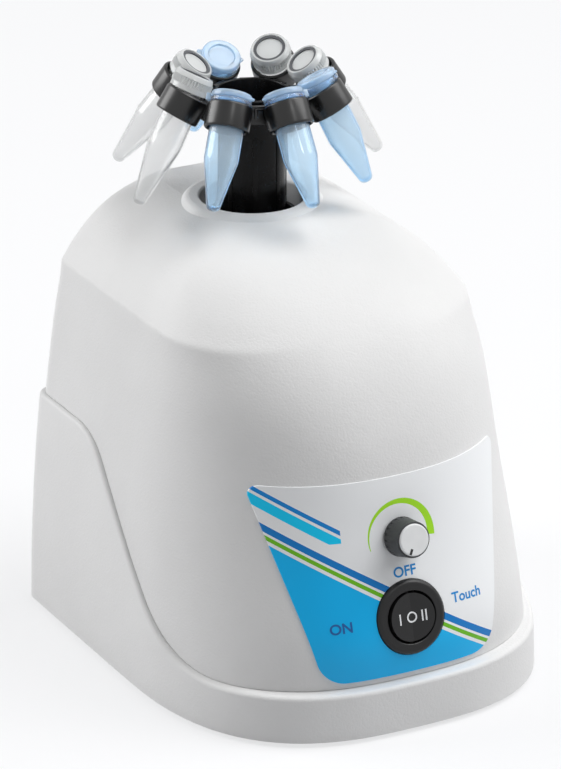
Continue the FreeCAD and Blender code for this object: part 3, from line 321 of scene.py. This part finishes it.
# %% Printed film
KNOB_Z = knob_spot.z / MM
FIELD_LEFT_Z = 62.0
FIELD_SLOPE = -0.62
FIELD_FROM_X = -42.0
GREEN_STRIPE = (-2.2, -1.0)
BLUE_STRIPE = (-4.9, -2.9)
BARS_TO_X = -19.0
BARS_FROM_Z = 60.0
PALE_BAR = (46.0, 49.5)
DEEP_BAR = (50.5, 52.0)
SWEEP_RADIUS = 10.6
SWEEP_THIN = 0.12
SWEEP_GAIN = 1.2
SWEEP_FROM = math.radians(195)
SWEEP_TO = math.radians(-8)


def printed_film(name):
    white = ink(242, 244, 246)
    shader, where = finish(name, white, 0.32)
    x = where.part("X") / MM
    z = where.part("Z") / MM
    edge = (x - FIELD_FROM_X) * FIELD_SLOPE + FIELD_LEFT_Z
    depth = (edge - z) / math.hypot(1, FIELD_SLOPE)
    field = depth > 0.0
    fade = where.noise(30.0, 1.0).soft(0.3, 0.7)
    blue = fade.mix(ink(0, 178, 242), ink(0, 186, 250))
    tone = field.mix(white, blue)
    tone = depth.between(*GREEN_STRIPE).mix(tone, ink(108, 188, 26))
    tone = depth.between(*BLUE_STRIPE).mix(tone, ink(0, 122, 200))
    lean = x * -FIELD_SLOPE + z
    corner = (x < BARS_TO_X) * (z > BARS_FROM_Z)
    tone = (corner * lean.between(*PALE_BAR)).mix(tone, ink(0, 206, 252))
    tone = (corner * lean.between(*DEEP_BAR)).mix(tone, ink(0, 132, 212))
    rise = z - KNOB_Z
    radius = (x * x + rise * rise).math("SQRT")
    angle = rise.math("ARCTAN2", x)
    turned = angle + (angle < math.radians(-90)) * (2 * math.pi)
    along = (SWEEP_FROM - turned) / (SWEEP_FROM - SWEEP_TO)
    width = along * SWEEP_GAIN + SWEEP_THIN
    sweep = ((radius - SWEEP_RADIUS).math("ABSOLUTE") - width < 0.0) * along.between(0.0, 1.0)
    tone = sweep.mix(tone, ink(164, 226, 36))
    where.feed(shader.inputs["Base Color"], tone)
    bump(where, shader, where.noise(0.25, 2.0), 0.012)
    shader.inputs["Specular IOR Level"].default_value = 0.25
    shader.inputs["Coat Weight"].default_value = 0.12
    shader.inputs["Coat Roughness"].default_value = 0.25


printed_film("overlay")
moulding("print_blue", ink(0, 136, 210), 0.4, 0.3, 0.004)
moulding("print_dark", ink(0, 84, 156), 0.4, 0.3, 0.004)
moulding("print_white", ink(236, 238, 240), 0.4, 0.3, 0.004)
moulding("print_black", ink(22, 22, 23), 0.4, 0.3, 0.004)
print("label field falls", round(math.degrees(math.atan(-FIELD_SLOPE)), 1), "degrees to the right")

# %% [markdown]
# The light grey disc in the knob is turned on its face, so its fine lines run in rings about the knob's axis. The
# distance from that axis is worked out in the finish from the axis itself.

# %% Turned disc of the knob
RING_MM = 0.3


def turned_disc(name):
    color = ink(240, 241, 242)
    shader, where = finish(name, color, 0.4)
    offset = where.node("ShaderNodeVectorMath", {"operation": "SUBTRACT"}, {0: where, 1: knob_spot})
    cross = where.node("ShaderNodeVectorMath", {"operation": "CROSS_PRODUCT"}, {0: offset, 1: panel_out})
    reach = where.node("ShaderNodeVectorMath", {"operation": "LENGTH"}, {0: cross}, "Value")
    rings = (reach * (2 * math.pi / (RING_MM * MM))).math("SINE")
    bump(where, shader, rings, 0.006)
    where.feed(shader.inputs["Roughness"], rings * 0.05 + 0.4)
    where.feed(shader.inputs["Base Color"], where.noise(3.0).mix(ink(228, 230, 231), color))


turned_disc("knob_disc")
print("rings on the disc every", RING_MM, "mm")

# %% [markdown]
# ## Dressing the construction
# The record names a finish for every piece, so one loop can dress them all. A piece that a finer mesh stands for later
# gets its finish here as well.

# %% Finishes onto the pieces
for node in frame["record"]["subparts"]:
    target = frame["nodes"][node["node"]]
    target.data.materials.clear()
    target.data.materials.append(finishes[node["material_slot"]])

# %% [markdown]
# ## Turning shapes
# Tubes, caps, loops and the cup are all round, so each is an outline spun about its own axis, the way they would be
# turned. A corner of an outline may carry a radius, which becomes an arc, because moulded plastic has no sharp edge.


# %% Outlines and spins
MERGE_MM = 1e-4


def rounded_outline(corners, closed=False, steps=5):
    """Points of an outline whose corners are (x, y, radius)."""
    outline = []
    last = len(corners) - 1
    for index, (x, y, radius) in enumerate(corners):
        here = Vector((x, y))
        if radius == 0 or (not closed and index in (0, last)):
            outline.append(here)
            continue
        before = (Vector(corners[index - 1][:2]) - here).normalized()
        after = (Vector(corners[(index + 1) % len(corners)][:2]) - here).normalized()
        half = before.angle(after) / 2
        reach = radius / math.tan(half)
        centre = here + (before + after).normalized() * radius / math.sin(half)
        start = here + before * reach - centre
        end = here + after * reach - centre
        for step in range(steps + 1):
            outline.append(centre + start.lerp(end, step / steps).normalized() * radius)
    return outline


def sealed(mesh):
    """Merge what meets and turn the faces outwards."""
    bmesh.ops.remove_doubles(mesh, verts=mesh.verts, dist=MERGE_MM)
    bmesh.ops.recalc_face_normals(mesh, faces=mesh.faces)
    return mesh


def spun(corners, closed=False, steps=72):
    """Spin an outline of (radius, height, corner radius) about Z, in millimetres."""
    mesh = bmesh.new()
    verts = [mesh.verts.new((point.x, 0, point.y)) for point in rounded_outline(corners, closed)]
    edges = [mesh.edges.new(pair) for pair in zip(verts, verts[1:])]
    if closed:
        edges.append(mesh.edges.new((verts[-1], verts[0])))
    bmesh.ops.spin(mesh, geom=verts + edges, cent=(0, 0, 0), axis=(0, 0, 1), angle=2 * math.pi,
                   steps=steps, use_merge=True)
    return sealed(mesh)


print("a rounded corner has", len(rounded_outline([(0, 0, 0), (1, 0, 0.2), (1, 1, 0)])) - 2, "points")


# %% Soft boxes and gathered meshes
def soft_box(size, radius, place=(0, 0, 0)):
    """A box with rounded edges, centred on its place, in millimetres."""
    mesh = bmesh.new()
    bmesh.ops.create_cube(mesh, size=1)
    bmesh.ops.scale(mesh, vec=size, verts=mesh.verts)
    bmesh.ops.bevel(mesh, geom=mesh.edges[:], offset=radius, segments=3, profile=0.5, affect="EDGES", material=-1)
    bmesh.ops.translate(mesh, vec=place, verts=mesh.verts)
    return mesh


def gather(target, source, matrix=Matrix.Identity(4)):
    """Add one mesh to another and let go of it."""
    bmesh.ops.transform(source, matrix=matrix, verts=source.verts)
    carrier = bpy.data.meshes.new("carrier")
    source.to_mesh(carrier)
    source.free()
    target.from_mesh(carrier)
    bpy.data.meshes.remove(carrier)


def turn(degrees, axis="Z"):
    return Matrix.Rotation(math.radians(degrees), 4, axis)


sample = soft_box((1, 1, 1), 0.1)
print("a soft box has", len(sample.faces), "faces")
sample.free()

# %% [markdown]
# ## From mesh to piece
# A finished piece sits at the origin, with its place in its mesh. It rides on one body of the mixer, so it moves with
# that body's joint, and it may stand for pieces of the construction, which are then hidden.

# %% Pieces
SHARP_FROM = math.radians(38)


def piece(name, mesh, matrix, slot, body, stands_for=(), material=None):
    """Make an object of a mesh, in its place, on its body."""
    bmesh.ops.transform(mesh, matrix=matrix, verts=mesh.verts)
    data = bpy.data.meshes.new(name)
    mesh.to_mesh(data)
    mesh.free()
    data.materials.append(finishes[material or slot])
    data.shade_smooth()
    data.set_sharp_from_angle(angle=SHARP_FROM)
    made = bpy.data.objects.new(name, data)
    bpy.context.scene.collection.objects.link(made)
    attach(made, body)
    if stands_for:
        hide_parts(*stands_for)
    return made


TO_METRES = Matrix.Scale(MM, 4)
CRANK = Matrix.Translation(crank_axis) @ TO_METRES
print("crank axis at", [round(value / MM, 2) for value in crank_axis])

# %% [markdown]
# ## Springs under the motor
# Pressing the cup pushes the whole motor down on four coil springs. They could be four curves with a round bevel, but
# a ring of wire that is spun about its post, and lifted a little at each step, becomes the coil in one go.

# %% Coil springs
SPRING_SPOTS = [(26, 17), (-26, 17), (26, -17), (-26, -17)]
SPRING_RADIUS = 4.4
SPRING_PITCH = 3.2
WIRE_RADIUS = 0.6
WIRE_SIDES = 10
STEPS_PER_TURN = 28
spring_low, spring_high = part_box("touch_springs")
rise = (spring_high.z - spring_low.z) / MM - 2 * WIRE_RADIUS
foot = spring_low.z / MM + WIRE_RADIUS
turns = rise / SPRING_PITCH


def coil():
    mesh = bmesh.new()
    stand_up = Matrix.Translation((SPRING_RADIUS, 0, foot)) @ turn(90, "X")
    bmesh.ops.create_circle(mesh, segments=WIRE_SIDES, radius=WIRE_RADIUS, matrix=stand_up)
    steps = round(turns * STEPS_PER_TURN)
    bmesh.ops.spin(mesh, geom=mesh.verts[:] + mesh.edges[:], cent=(0, 0, 0), axis=(0, 0, 1),
                   dvec=(0, 0, rise / steps), angle=turns * 2 * math.pi, steps=steps)
    bmesh.ops.holes_fill(mesh, edges=mesh.edges[:])
    return sealed(mesh)


coils = bmesh.new()
for x, y in SPRING_SPOTS:
    gather(coils, coil(), Matrix.Translation((x, y, 0)))
spring_set = piece("touch_spring_coils", coils, Matrix.Translation(head_axis) @ TO_METRES, "steel", "stand",
                   ["touch_springs"])
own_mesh(spring_set)
print("coil springs", len(SPRING_SPOTS), "of", round(turns, 2), "turns")

# %% [markdown]
# ## The cup head
# The black cup is one glossy moulding: a post that comes up out of the housing, a slight flare and a rounded lip, with
# a shallow bowl inside for a tube pressed in by hand. It is hollow from below, where the bearing sits. Eight slim ribs
# run up the post.

# %% Cup and post
cup_low, cup_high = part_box("cup_head")
CUP_RIM = cup_high.z / MM
POST_FOOT = cup_low.z / MM
POST_RADIUS = 10.4
CUP_RADIUS = 11.7
LIP_WALL = 1.1
FLARE_LOW = 158.0
FLARE_HIGH = 163.5
BOWL_RADIUS = 8.6
BOWL_EDGE = 158.5
BOWL_FLOOR = 156.3
HOLLOW_RADIUS = 6.5
HOLLOW_TOP = 151.5
SEAT_RADIUS = 8.01
SEAT_TOP = 117.4
RIB_HEIGHT = 46.0
PLACES = 8
underside = [(0, HOLLOW_TOP, 0), (HOLLOW_RADIUS, HOLLOW_TOP, 0.5), (HOLLOW_RADIUS, SEAT_TOP, 0),
             (SEAT_RADIUS, SEAT_TOP, 0), (SEAT_RADIUS, POST_FOOT, 0)]
outside = [(POST_RADIUS, POST_FOOT, 0.3), (POST_RADIUS, FLARE_LOW, 8), (CUP_RADIUS, FLARE_HIGH, 5),
           (CUP_RADIUS, CUP_RIM, 0.5)]
bowl = [(CUP_RADIUS - LIP_WALL, CUP_RIM, 0.45), (BOWL_RADIUS, BOWL_EDGE, 3.0), (0, BOWL_FLOOR, 0)]
cup = spun(underside + outside + bowl, steps=96)
for number in range(PLACES):
    rib = soft_box((0.5, 1.6, RIB_HEIGHT), 0.2, (POST_RADIUS, 0, FLARE_LOW - RIB_HEIGHT / 2))
    gather(cup, rib, turn(360 * (number + 0.5) / PLACES))
piece("cup_moulding", cup, CRANK, "black_gloss", "head", ["cup_head"], "cup_black")
print("cup rim at", round(CUP_RIM, 1), "mm")

# %% [markdown]
# ## The tube holder
# The holder is a black ring with eight sides that slips over the cup. A leaning loop stands off each corner, and a
# small T-shaped stop tops each side. One loop is spun once and placed eight times in its own leaning frame.

# %% Loops, ring and stops
LOOP_RADIUS = 24.0
LOOP_HEIGHT = 169.6
LOOP_TILT = 33.7
LOOP_OUTER = 7.0
LOOP_BORE = 5.9
LOOP_HALF = 4.0
BAND_LOW = 164.2
BAND_HIGH = 168.8
BAND_WIDE = 15.8
BAND_NARROW = 14.0
BAND_WALL = 1.1
ARM_SIZE = (5.6, 6.4, 4.4)
ARM_REACH = 15.6
STOP_BAR = (1.4, 5.4, 1.3)
STOP_REACH = 13.1
STEM_SIZE = (0.8, 1.1, 3.2)
STEM_REACH = 13.9


def loop_frame(number, extra_lean=0.0):
    """The leaning frame of one loop about the crank axis, in millimetres."""
    lean = Matrix.Translation((LOOP_RADIUS, 0, LOOP_HEIGHT)) @ turn(-LOOP_TILT - extra_lean, "Y")
    return turn(360 * number / PLACES) @ lean


holder = bmesh.new()
bmesh.ops.create_cone(holder, cap_ends=False, segments=PLACES, radius1=BAND_WIDE, radius2=BAND_NARROW,
                      depth=BAND_HIGH - BAND_LOW)
bmesh.ops.translate(holder, vec=(0, 0, (BAND_LOW + BAND_HIGH) / 2), verts=holder.verts)
bmesh.ops.recalc_face_normals(holder, faces=holder.faces)
bmesh.ops.solidify(holder, geom=holder.faces[:], thickness=BAND_WALL)
bmesh.ops.bevel(holder, geom=holder.edges[:], offset=0.25, segments=2, profile=0.5, affect="EDGES", material=-1)
for number in range(PLACES):
    loop = spun([(LOOP_OUTER, -LOOP_HALF, 0.7), (LOOP_OUTER, LOOP_HALF, 0.7), (LOOP_BORE, LOOP_HALF, 0.4),
                 (LOOP_BORE, -LOOP_HALF, 0.4)], closed=True, steps=64)
    gather(holder, loop, loop_frame(number))
    arm = soft_box(ARM_SIZE, 0.4, (ARM_REACH, 0, BAND_LOW + ARM_SIZE[2] / 2))
    gather(holder, arm, turn(360 * number / PLACES))
    stop = soft_box(STOP_BAR, 0.3, (STOP_REACH, 0, BAND_HIGH + 0.5))
    gather(stop, soft_box(STEM_SIZE, 0.2, (STEM_REACH, 0, BAND_HIGH - 1.2)))
    gather(holder, stop, turn(360 * (number + 0.5) / PLACES))
piece("holder_moulding", holder, CRANK, "black_gloss", "head", ["tube_holder"])
print("holder with", PLACES, "loops")

# %% [markdown]
# ## Microtubes
# Two kinds stand in the holder. One has a lid on a strap that snaps shut, the other a knurled screw cap with a dark
# ring in its top. Both are thin-walled: the outline goes up the outside and back down the inside, so that light
# passes two walls and the edges look deeper than the middle. Heights count from the middle of the tube's loop.

# %% Snap-cap tubes
TUBE_RADIUS = 5.3
TUBE_BORE = 4.75
TAPER_AT = -13.5
SNAP_TIP = -29.2
SCREW_TIP = -33.2
TIP_RADIUS = 1.9
TIP_BORE = 1.4
TIP_FLOOR = 1.2
RIM_RADIUS = 6.4
RIM_LOW = 4.05
RIM_TOP = 5.4
MOUTH_RADIUS = 4.5


def tube_wall(top, tip):
    """Outline of a tube from its tip, up the outside, over the given top and down the inside."""
    outside = [(0, tip, 0), (TIP_RADIUS, tip, 1.7), (TUBE_RADIUS, TAPER_AT, 4.0)]
    inside = [(TUBE_BORE, TAPER_AT, 4.0), (TIP_BORE, tip + TIP_FLOOR, 0.9), (0, tip + TIP_FLOOR, 0)]
    return outside + top + inside


def snap_tube():
    rim = [(TUBE_RADIUS, RIM_LOW, 0.3), (RIM_RADIUS, RIM_LOW, 0.3), (RIM_RADIUS, RIM_TOP, 0.4),
           (MOUTH_RADIUS, RIM_TOP, 0.3)]
    return spun(tube_wall(rim, SNAP_TIP))


print("snap-cap tube from", SNAP_TIP, "to", RIM_TOP, "mm")

# %% [markdown]
# The snap lid is a disc with a raised edge, a hollow plug that goes into the tube's mouth, a tab for the thumb and the
# strap. It is a piece of its own, because it is thicker and milkier than the tube's wall.

# %% Snap lids
LID_RADIUS = RIM_RADIUS - 0.1
LID_LOW = 5.5
LID_INNER = 5.9
LID_FACE = 7.0
LID_TOP = 7.6
DISH_RADIUS = 4.0
PLUG_RADIUS = 4.2
PLUG_BORE = 3.5
PLUG_LOW = 2.6
TAB_SIZE = (3.4, 3.4, 0.9)
TAB_PLACE = (-5.0, 0, 6.2)
STRAP_SIZE = (1.8, 4.0, 2.4)
STRAP_PLACE = (6.7, 0, 5.6)


def snap_lid():
    """A lid that hinges on a strap at +X and has its tab at -X."""
    plug = [(0, LID_INNER, 0), (PLUG_BORE, LID_INNER, 0.3), (PLUG_BORE, PLUG_LOW, 0.2), (PLUG_RADIUS, PLUG_LOW, 0.2),
            (PLUG_RADIUS, LID_LOW, 0.2)]
    top = [(LID_RADIUS, LID_LOW, 0.4), (LID_RADIUS, LID_TOP, 0.8), (DISH_RADIUS + 0.3, LID_TOP, 0.2),
           (DISH_RADIUS, LID_FACE, 0.2), (0, LID_FACE, 0)]
    lid = spun(plug + top)
    gather(lid, soft_box(TAB_SIZE, 0.35), Matrix.Translation(TAB_PLACE) @ turn(45))
    gather(lid, soft_box(STRAP_SIZE, 0.4, STRAP_PLACE))
    return lid


# Each tube: its loop, its turn about its own axis, its extra lean and how far it sits out of the loop.
SNAP_TUBES = [(5, 270, 0, 0), (6, 90, 0, 0), (7, 180, -6, 1), (2, 70, 0, 0)]
for number, (place, spin, lean, lift) in enumerate(SNAP_TUBES, start=1):
    matrix = CRANK @ loop_frame(place, lean) @ Matrix.Translation((0, 0, lift)) @ turn(spin)
    piece("snap_tube_moulding_%d" % number, snap_tube(), matrix, "tube_blue", "head", ["snap_tube_%d" % number])
    piece("snap_lid_moulding_%d" % number, snap_lid(), matrix, "tube_blue", "head", (), "lid_blue")
print("snap-cap tubes with lids", len(SNAP_TUBES))

# %% [markdown]
# The screw caps are gripped by their knurl. A ring of many short edges is drawn up from level to level, and where the
# knurl is, every second corner stays a little further in. The inside is drawn from the same first ring, so the cap is
# one closed wall.

# %% Knurled caps
CAP_LOW = 4.9
CAP_TOP = 10.4
CAP_FOOT = 6.2
CAP_BORE = 4.75
KNURLS = 44
KNURL_OUT = 6.4
KNURL_IN = 5.95
# Levels as (height, radius of even corners, radius of odd corners)
CAP_OUTSIDE = [(6.4, CAP_FOOT, CAP_FOOT), (6.5, KNURL_OUT, KNURL_IN), (8.7, KNURL_OUT, KNURL_IN),
               (8.8, 6.25, 6.25), (10.15, 5.8, 5.8), (CAP_TOP, 5.55, 5.55), (CAP_TOP, 5.05, 5.05),
               (9.75, 4.95, 4.95), (9.7, 0.05, 0.05)]
CAP_INSIDE = [(CAP_LOW, CAP_BORE, CAP_BORE), (8.9, CAP_BORE, CAP_BORE), (8.95, 0.05, 0.05)]


def drawn_up(mesh, edges, levels):
    """Extrude a ring of edges through levels and close the last one."""
    for height, even, odd in levels:
        grown = bmesh.ops.extrude_edge_only(mesh, edges=edges)["geom"]
        edges = [item for item in grown if isinstance(item, bmesh.types.BMEdge)]
        for vert in (item for item in grown if isinstance(item, bmesh.types.BMVert)):
            angle = math.atan2(vert.co.y, vert.co.x)
            step = round(angle / (math.pi / KNURLS))
            radius = odd if step % 2 else even
            vert.co = Vector((radius * math.cos(angle), radius * math.sin(angle), height))
    bmesh.ops.contextual_create(mesh, geom=edges)


def knurled_cap():
    """A hollow cap: plain foot, knurled grip, leaning shoulder and recessed top."""
    cap = bmesh.new()
    ring = bmesh.ops.create_circle(cap, segments=KNURLS * 2, radius=CAP_FOOT)["verts"]
    bmesh.ops.translate(cap, vec=(0, 0, CAP_LOW), verts=ring)
    foot = cap.edges[:]
    drawn_up(cap, foot, CAP_OUTSIDE)
    drawn_up(cap, foot, CAP_INSIDE)
    bmesh.ops.recalc_face_normals(cap, faces=cap.faces)
    return cap


print("caps with", KNURLS, "knurls,", round(CAP_TOP - CAP_LOW, 1), "mm high")

# %% [markdown]
# The screw-cap tubes have a narrower neck inside the cap, and short raised marks up one side that show the filling.

# %% Screw-cap tubes
NECK_RADIUS = 4.6
NECK_BORE = 3.7
NECK_LOW = 4.8
NECK_TOP = 8.8
MARKS = 6
MARK_FROM = -6.0
MARK_STEP = 1.5


def screw_tube():
    neck = [(TUBE_RADIUS, NECK_LOW, 0.3), (NECK_RADIUS, NECK_LOW, 0.2), (NECK_RADIUS, NECK_TOP, 0.3),
            (NECK_BORE, NECK_TOP, 0.3), (NECK_BORE, 5.5, 0.5), (TUBE_BORE, 3.0, 0.5)]
    tube = spun(tube_wall(neck, SCREW_TIP))
    for mark in range(MARKS):
        size = (0.24, 2.6 if mark % 2 else 1.6, 0.22)
        gather(tube, soft_box(size, 0.05, (TUBE_RADIUS, 0, MARK_FROM - MARK_STEP * mark)))
    return tube


# Each tube: its loop and its extra lean.
SCREW_TUBES = [(4, -6), (3, 4), (0, 5), (1, 0)]
for number, (place, lean) in enumerate(SCREW_TUBES, start=1):
    matrix = CRANK @ loop_frame(place, lean)
    piece("screw_tube_moulding_%d" % number, screw_tube(), matrix, "tube_clear", "head", ["screw_tube_%d" % number])
    piece("screw_cap_moulding_%d" % number, knurled_cap(), matrix, "cap_clear", "head", ["screw_cap_%d" % number])
print("screw-cap tubes", len(SCREW_TUBES))

# %% [markdown]
# ## Lettering
# The few words on the panel are plain functional ones. Each is a text object made into a mesh, laid in the plane of
# the panel and then pressed onto the curved film by casting a ray from every point back along the panel's normal.

# %% Flat words
WORD_SIZE = 4.4
WORD_GAIN = 0.09
LONGEST_EDGE = 0.6


def lettering(words):
    """Flat text as a mesh in millimetres, centred on the origin."""
    curve = bpy.data.curves.new("words", "FONT")
    curve.body = words
    curve.size = WORD_SIZE
    curve.offset = WORD_GAIN
    curve.align_x = "CENTER"
    curve.align_y = "CENTER"
    carrier = bpy.data.objects.new("words", curve)
    flat = bpy.data.meshes.new_from_object(carrier)
    mesh = bmesh.new()
    mesh.from_mesh(flat)
    bpy.data.objects.remove(carrier)
    bpy.data.curves.remove(curve)
    bpy.data.meshes.remove(flat)
    bmesh.ops.remove_doubles(mesh, verts=mesh.verts, dist=MERGE_MM)
    bmesh.ops.triangulate(mesh, faces=mesh.faces)
    long_edges = [edge for edge in mesh.edges if edge.calc_length() > LONGEST_EDGE]
    bmesh.ops.subdivide_edges(mesh, edges=long_edges, cuts=2)
    return mesh


print("words", WORD_SIZE, "mm high")

# %% Onto the panel
RAY_START = 0.03
panel_across = panel_up.cross(panel_out)


def surface_of(node_name):
    """A search tree of one node's faces."""
    mesh = bmesh.new()
    mesh.from_mesh(frame["nodes"][node_name].data)
    tree = BVHTree.FromBMesh(mesh)
    mesh.free()
    return tree


def pressed_on(mesh, tree, height_mm):
    """Push a flat mesh along the panel's normal onto a surface, standing this far above it."""
    start = panel_out * RAY_START
    for vert in mesh.verts:
        spot = tree.ray_cast(vert.co + start, -panel_out)[0]
        if spot:
            vert.co = spot + panel_out * height_mm * MM


def panel_matrix(x_mm, z_mm):
    """Frame in the panel's plane: X across, Y up and Z out, at a point given by X and height."""
    along = (z_mm * MM - knob_spot.z) / panel_up.z
    origin = knob_spot + panel_up * along + panel_across * (x_mm * MM)
    axes = Matrix((panel_across, panel_up, panel_out)).transposed().to_4x4()
    return Matrix.Translation(origin) @ axes @ TO_METRES


film_tree = surface_of("control_overlay")
WORD_LIFT = 0.05
WORDS = [("OFF", 0.0, 48.7, "print_blue"), ("ON", -22.5, 35.6, "print_dark"), ("Touch", 20.6, 37.6, "print_blue")]
for words, x_mm, z_mm, material in WORDS:
    mesh = lettering(words)
    bmesh.ops.transform(mesh, matrix=panel_matrix(x_mm, z_mm), verts=mesh.verts)
    pressed_on(mesh, film_tree, WORD_LIFT)
    piece("words_" + words.lower(), mesh, Matrix.Identity(4), "overlay", "stand", (), material)
print("words on the film:", [entry[0] for entry in WORDS])

# %% [markdown]
# The rocker carries its own three marks, a bar, a ring and two bars. They ride on the rocker, so they tilt with it.

# %% Marks on the rocker
rocker_tree = surface_of("rocker")
MARK_RISE = 0.2
MARK_LIFT = 0.04
MARK_STROKE = 0.5
BAR_HEIGHT = 3.4
BAR_SPOTS = (-4.2, 3.4, 4.6)
RING_RADIUS = 1.45
ROCKER_Z = joints["rocker_tilt"]["pos_m"][2] / MM + MARK_RISE


def rocker_mark(name, mesh, x_mm):
    bmesh.ops.subdivide_edges(mesh, edges=mesh.edges[:], cuts=1)
    bmesh.ops.transform(mesh, matrix=panel_matrix(x_mm, ROCKER_Z), verts=mesh.verts)
    pressed_on(mesh, rocker_tree, MARK_LIFT)
    piece(name, mesh, Matrix.Identity(4), "switch_black", "rocker_body", (), "print_white")


def flat_bar():
    mesh = bmesh.new()
    bmesh.ops.create_grid(mesh, x_segments=1, y_segments=1, size=0.5)
    bmesh.ops.scale(mesh, vec=(MARK_STROKE, BAR_HEIGHT, 1), verts=mesh.verts)
    return mesh


def flat_ring(radius, width, steps=40):
    mesh = bmesh.new()
    for edge in (-width / 2, width / 2):
        bmesh.ops.create_circle(mesh, segments=steps, radius=radius + edge)
    bmesh.ops.bridge_loops(mesh, edges=mesh.edges[:])
    bmesh.ops.recalc_face_normals(mesh, faces=mesh.faces)
    if mesh.faces[:][0].normal.z < 0:
        bmesh.ops.reverse_faces(mesh, faces=mesh.faces)
    return mesh


for number, x_mm in enumerate(BAR_SPOTS):
    rocker_mark("rocker_bar_%d" % number, flat_bar(), x_mm)
rocker_mark("rocker_ring", flat_ring(RING_RADIUS, MARK_STROKE), 0.0)
print("marks on the rocker", len(BAR_SPOTS) + 1)

# %% [markdown]
# The knob's pointer is a short dark bar at the edge of its disc. It rides on the knob, and at rest it points to OFF.

# %% Pointer of the knob
POINTER_TURN = 245.0
POINTER_SIZE = (1.9, 0.8, 0.2)
POINTER_REACH = 3.7
DISC_FACE = 9.0
pointer = soft_box(POINTER_SIZE, 0.08, (POINTER_REACH, 0, DISC_FACE))
knob_matrix = panel_matrix(0.0, KNOB_Z)
piece("knob_pointer", pointer, knob_matrix @ turn(POINTER_TURN), "knob_disc", "knob", (), "print_black")
print("pointer at", POINTER_TURN, "degrees")

# %% [markdown]
# ## Floor and light
# The picture is a plain studio one: a pale floor that runs up to white, a large soft light above and to the right,
# weaker light from the left, and a small lamp in front that only puts a glint on black and clear plastic. The floor
# is mostly its own white to the camera, to what is seen through a clear tube and to what a glossy part mirrors, with a
# soft shadow left on it. As a source of light for everything else it is an ordinary pale floor.

# %% Floor
FLOOR_SIZE = 12.0
WHITE_SHARE = 0.62
WHITE_LEVEL = 1.16
floor_mesh = bmesh.new()
bmesh.ops.create_grid(floor_mesh, x_segments=1, y_segments=1, size=FLOOR_SIZE / 2)
floor_data = bpy.data.meshes.new("floor")
floor_mesh.to_mesh(floor_data)
floor_mesh.free()
floor = bpy.data.objects.new("floor", floor_data)
bpy.context.scene.collection.objects.link(floor)


def seen_rays(start):
    """One for what the camera sees, directly, through a clear tube or mirrored in a glossy part."""
    seen = start.node("ShaderNodeLightPath", None, None, "Is Camera Ray")
    for ray in ("Is Transmission Ray", "Is Glossy Ray"):
        seen = seen.math("MAXIMUM", start.node("ShaderNodeLightPath", None, None, ray))
    return seen


floor_material = bpy.data.materials.new("floor_white")
floor_material.use_nodes = True
floor_tree = floor_material.node_tree
floor_shader = floor_tree.nodes["Principled BSDF"]
floor_shader.inputs["Base Color"].default_value = (0.6, 0.6, 0.61, 1.0)
floor_shader.inputs["Roughness"].default_value = 0.9
start = Flow(floor_tree)
glow = start.node("ShaderNodeEmission", None, {"Color": (0.985, 0.99, 1.0, 1.0), "Strength": WHITE_LEVEL})
lit = Flow(floor_tree, floor_shader.outputs[0])
mixed = start.node("ShaderNodeMixShader", None, {0: seen_rays(start) * WHITE_SHARE, 1: lit, 2: glow})
start.feed(floor_tree.nodes["Material Output"].inputs["Surface"], mixed)
floor_data.materials.append(floor_material)
print("floor", FLOOR_SIZE, "m wide")

# %% World
WORLD_LEVEL = 0.11
BACKDROP_LEVEL = 0.97
world = bpy.data.worlds.new("studio")
bpy.context.scene.world = world
world.use_nodes = True
sky = Flow(world.node_tree)
level = seen_rays(sky) * (BACKDROP_LEVEL - WORLD_LEVEL) + WORLD_LEVEL
sky.feed(world.node_tree.nodes["Background"].inputs["Strength"], level)
world.node_tree.nodes["Background"].inputs["Color"].default_value = (1.0, 1.0, 1.0, 1.0)
print("world level", WORLD_LEVEL)

# %% Lamps
LAMP_AIM = Vector((0.0, 0.0, 0.08))


def soft_lamp(name, place, side, power):
    """A square lamp of this side, aimed at the middle of the mixer."""
    data = bpy.data.lights.new(name, "AREA")
    data.shape = "RECTANGLE"
    data.size = data.size_y = side
    data.energy = power
    lamp = bpy.data.objects.new(name, data)
    lamp.location = place
    lamp.rotation_euler = (LAMP_AIM - Vector(place)).to_track_quat("-Z", "Y").to_euler()
    bpy.context.scene.collection.objects.link(lamp)


soft_lamp("overhead", (0.57, -0.28, 1.48), 1.0, 16.3)
soft_lamp("right_side", (1.10, -0.42, 1.02), 0.9, 9.0)
soft_lamp("left_side", (-1.04, 0.87, 0.71), 0.9, 15.5)
soft_lamp("front_glint", (0.0, -1.05, 1.22), 0.2, 1.6)

# %% [markdown]
# ## View
# The plain view transform shows every colour as it was written.

# %% View
bpy.context.scene.view_settings.view_transform = "Standard"
